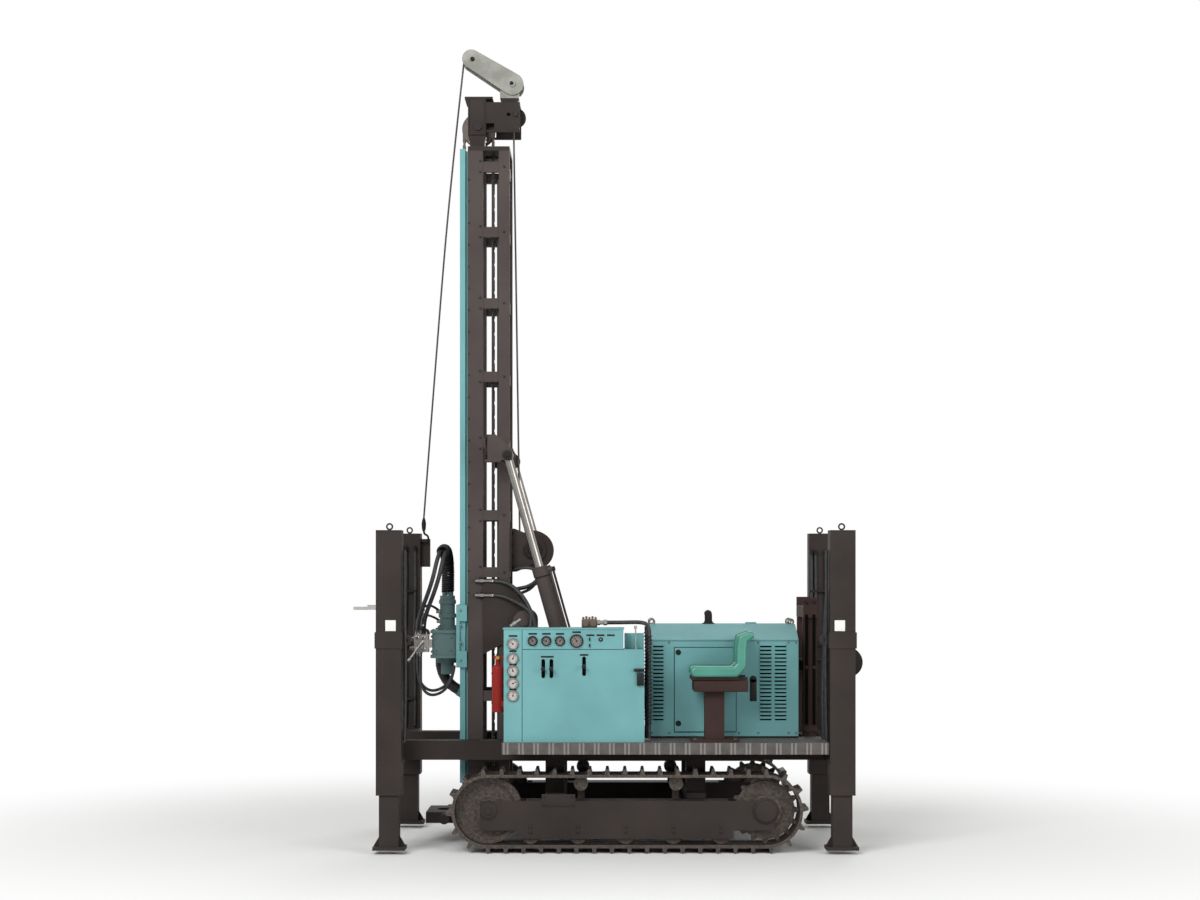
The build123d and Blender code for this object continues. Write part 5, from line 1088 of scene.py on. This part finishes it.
def rest_and_tower():
    """Pads and bolts of the mast rest with its slots drawn as near-black painted shade, bolts of the tower,
    caps of the cylinders' foot pins.
    """
    fit(mirrored(block((1493, -276, 1742), (1589, -150, 1748), 2)), "mast_rest_pads", "chassis", GUARD)
    rest = [bolt((x, -302, z), NEAR, 22) for x in (1512, 1570) for z in (830, 1300, 1780)]
    rest += [bolt((x, y, 792), UP, 22) for x in (1470, 1610) for y in (-280, -200)]
    fit(mirrored(joined(rest)), "mast_rest_bolts", "chassis", BLACK)
    # near-black strips in the mast rest's slots: painted shade standing in for the openings
    slot_shade = [block((x, -304, 880), (x + 22, -296, 1690), 1.5) for x in (1502, 1556)]
    fit(mirrored(joined(slot_shade)), "mast_rest_slot_painted_shade", "chassis", FOAM_AND_SHADE)
    tower = [bolt((x, -366, 815), NEAR, 24) for x in (-560, -460, -360, -260)]
    pin = (CYLINDER_BASE[0], -568, CYLINDER_BASE[1])
    tower.append(turned(((0, 44), (10, 44), (16, 36), (20, 18)), pin, NEAR, 24))
    fit(mirrored(joined(tower)), "tower_bolts", "chassis", BLACK)


def engine_fittings():
    """Manifold, oil filter and pulley that show on the engine when the far door is open."""
    engine = [
        block((560, 296, 1240), (1180, 330, 1330), 12),
        turned(((0, 44), (8, 48), (110, 48), (120, 40)), (700, 345, 1000), UP, 24),
        turned(((0, 60), (6, 66), (40, 66), (44, 40)), (1050, 300, 1060), FAR, 32),
    ]
    fit(joined(engine), "engine_fittings", "chassis", STEEL)


def winch_fittings():
    """The boss and bolts of the winch's near side plate, and the motor's ports."""
    boss = ((0, 66), (8, 66), (14, 58), (14, 34), (24, 30))
    pieces = [turned(boss, (WINCH[0], -190, WINCH[1]), NEAR, 32)]
    pieces += [bolt(on_circle((WINCH[0], -204, WINCH[1]), 50, 45 * step + 20), NEAR, 14) for step in range(8)]
    pieces += [bolt((-650, -190, z), NEAR, 20) for z in (2040, 2120, 2206, 2290)]
    port = ((0, 16), (18, 16), (20, 12), (40, 12))
    pieces += [turned(port, (x, 240, 2086), (0, 0.2, -1), 6) for x in (-470, -520)]
    fit(joined(pieces), "winch_bolts", "mast", BLACK)


MAKERS = (
    gauge_dials, gauge_rims, console_panel, console_controls, head_hoses, head_fittings, head_bolts,
    mast_bolts, mast_pipes, crown_fittings, mast_hoses, ropes, hook_and_jib_bolts, cylinder_fittings,
    louvres, hood_locks, hood_seams, hood_top, leg_plates, leg_hoses, air_line, fire_bottle, seat_fittings,
    track_bolts, tank_fittings, cleaner_and_lamp, rest_and_tower, engine_fittings, winch_fittings,
)


# The stage
FLOOR_SIZE = 120.0
FADE_NEAR, FADE_FAR = 2.4, 6.5  # metres from the rig's middle over which the floor turns white
WORLD_LIGHT = 0.4
# name, place, aimed at, size in metres, watts
LAMPS = (
    ("key", (-5.0, -12.0, 8.5), (0.0, 0.0, 2.0), 7.0, 1600.0),
    ("fill", (9.0, -11.0, 4.5), (0.3, 0.0, 1.6), 7.0, 850.0),
    ("back", (2.0, 9.0, 9.0), (0.0, 0.0, 2.5), 6.0, 350.0),
)


def seen_rays(tree):
    """One for what the camera sees, straight or by way of gloss or glass, and nought for lighting."""
    path = add(tree, "ShaderNodeLightPath")
    by_surface = add(tree, "ShaderNodeMath", {
        0: path.outputs["Is Glossy Ray"], 1: path.outputs["Is Transmission Ray"]}, operation="MAXIMUM")
    seen = add(tree, "ShaderNodeMath", {
        0: path.outputs["Is Camera Ray"], 1: by_surface.outputs[0]}, operation="MAXIMUM")
    return seen.outputs[0]


def pale_floor():
    """A pale floor that keeps the shadow and fades to white."""
    bpy.ops.object.select_all(action="DESELECT")
    bpy.ops.mesh.primitive_plane_add(size=FLOOR_SIZE)
    floor = bpy.context.object
    floor.name = "floor"
    material, tree, shader, place = start_finish("pale_floor", Base_Color=linear("E9E9E7"), Roughness=0.85)
    away = add(tree, "ShaderNodeVectorMath", {0: place}, operation="LENGTH")
    fade = add(tree, "ShaderNodeMapRange", {
        "Value": away.outputs["Value"], "From Min": FADE_NEAR, "From Max": FADE_FAR},
        interpolation_type="SMOOTHSTEP")
    share = add(tree, "ShaderNodeMath", {0: fade.outputs[0], 1: seen_rays(tree)}, operation="MULTIPLY")
    white = add(tree, "ShaderNodeEmission", {"Color": linear("FFFFFF")})
    both = add(tree, "ShaderNodeMixShader", {0: share.outputs[0], 1: shader.outputs[0], 2: white.outputs[0]})
    tree.links.new(both.outputs[0], tree.nodes["Material Output"].inputs["Surface"])
    floor.data.materials.append(material)


def white_world():
    """A world that is white to the eye and lights the rig softly."""
    world = bpy.data.worlds.new("studio")
    bpy.context.scene.world = world
    world.use_nodes = True
    tree = world.node_tree
    tree.nodes.clear()
    lit = add(tree, "ShaderNodeBackground", {"Color": linear("FFFFFF"), "Strength": WORLD_LIGHT})
    shown = add(tree, "ShaderNodeBackground", {"Color": linear("FFFFFF"), "Strength": 1.0})
    both = add(tree, "ShaderNodeMixShader", {0: seen_rays(tree), 1: lit.outputs[0], 2: shown.outputs[0]})
    add(tree, "ShaderNodeOutputWorld", {"Surface": both.outputs[0]})


def soft_lamps():
    """Three soft lamps: from the left, from the right and from behind."""
    for name, spot, target, size, watts in LAMPS:
        bpy.ops.object.light_add(type="AREA", location=spot)
        lamp = bpy.context.object
        lamp.name = name
        lamp.data.size = size
        lamp.data.energy = watts
        lamp.rotation_euler = (Vector(target) - Vector(spot)).to_track_quat("-Z", "Y").to_euler()


# The photo's camera stood level, 16.1 m from the near legs; rows and columns are pixels of the photo
PHOTO_WIDTH, PHOTO_HEIGHT = 1200.0, 900.0
CAMERA_PLACE = (0.039, -16.925, 2.046)
PHOTO_LENS = 78.0
LENS_SHARE = 0.87  # a little wider than the photo, so that the tracks and the floor are in the frame too
HORIZON_ROW = 566.0  # higher than the photo's own, for the same reason
HORIZON_COLUMN = 606.0


def camera():
    """A level camera where the photo's was, shifted so that the whole rig is in the frame."""
    bpy.ops.object.camera_add(location=CAMERA_PLACE, rotation=(math.radians(90), 0, 0))
    lens = bpy.context.object
    lens.data.lens = PHOTO_LENS * LENS_SHARE
    lens.data.sensor_width = 36.0
    lens.data.shift_y = (HORIZON_ROW - PHOTO_HEIGHT / 2) / PHOTO_WIDTH
    lens.data.shift_x = (PHOTO_WIDTH / 2 - HORIZON_COLUMN) / PHOTO_WIDTH
    lens.data.clip_end = 200.0
    bpy.context.scene.camera = lens


dress_solids()
for make in MAKERS:
    make()
pale_floor()
white_world()
soft_lamps()
camera()
bpy.context.scene.view_settings.view_transform = "Standard"
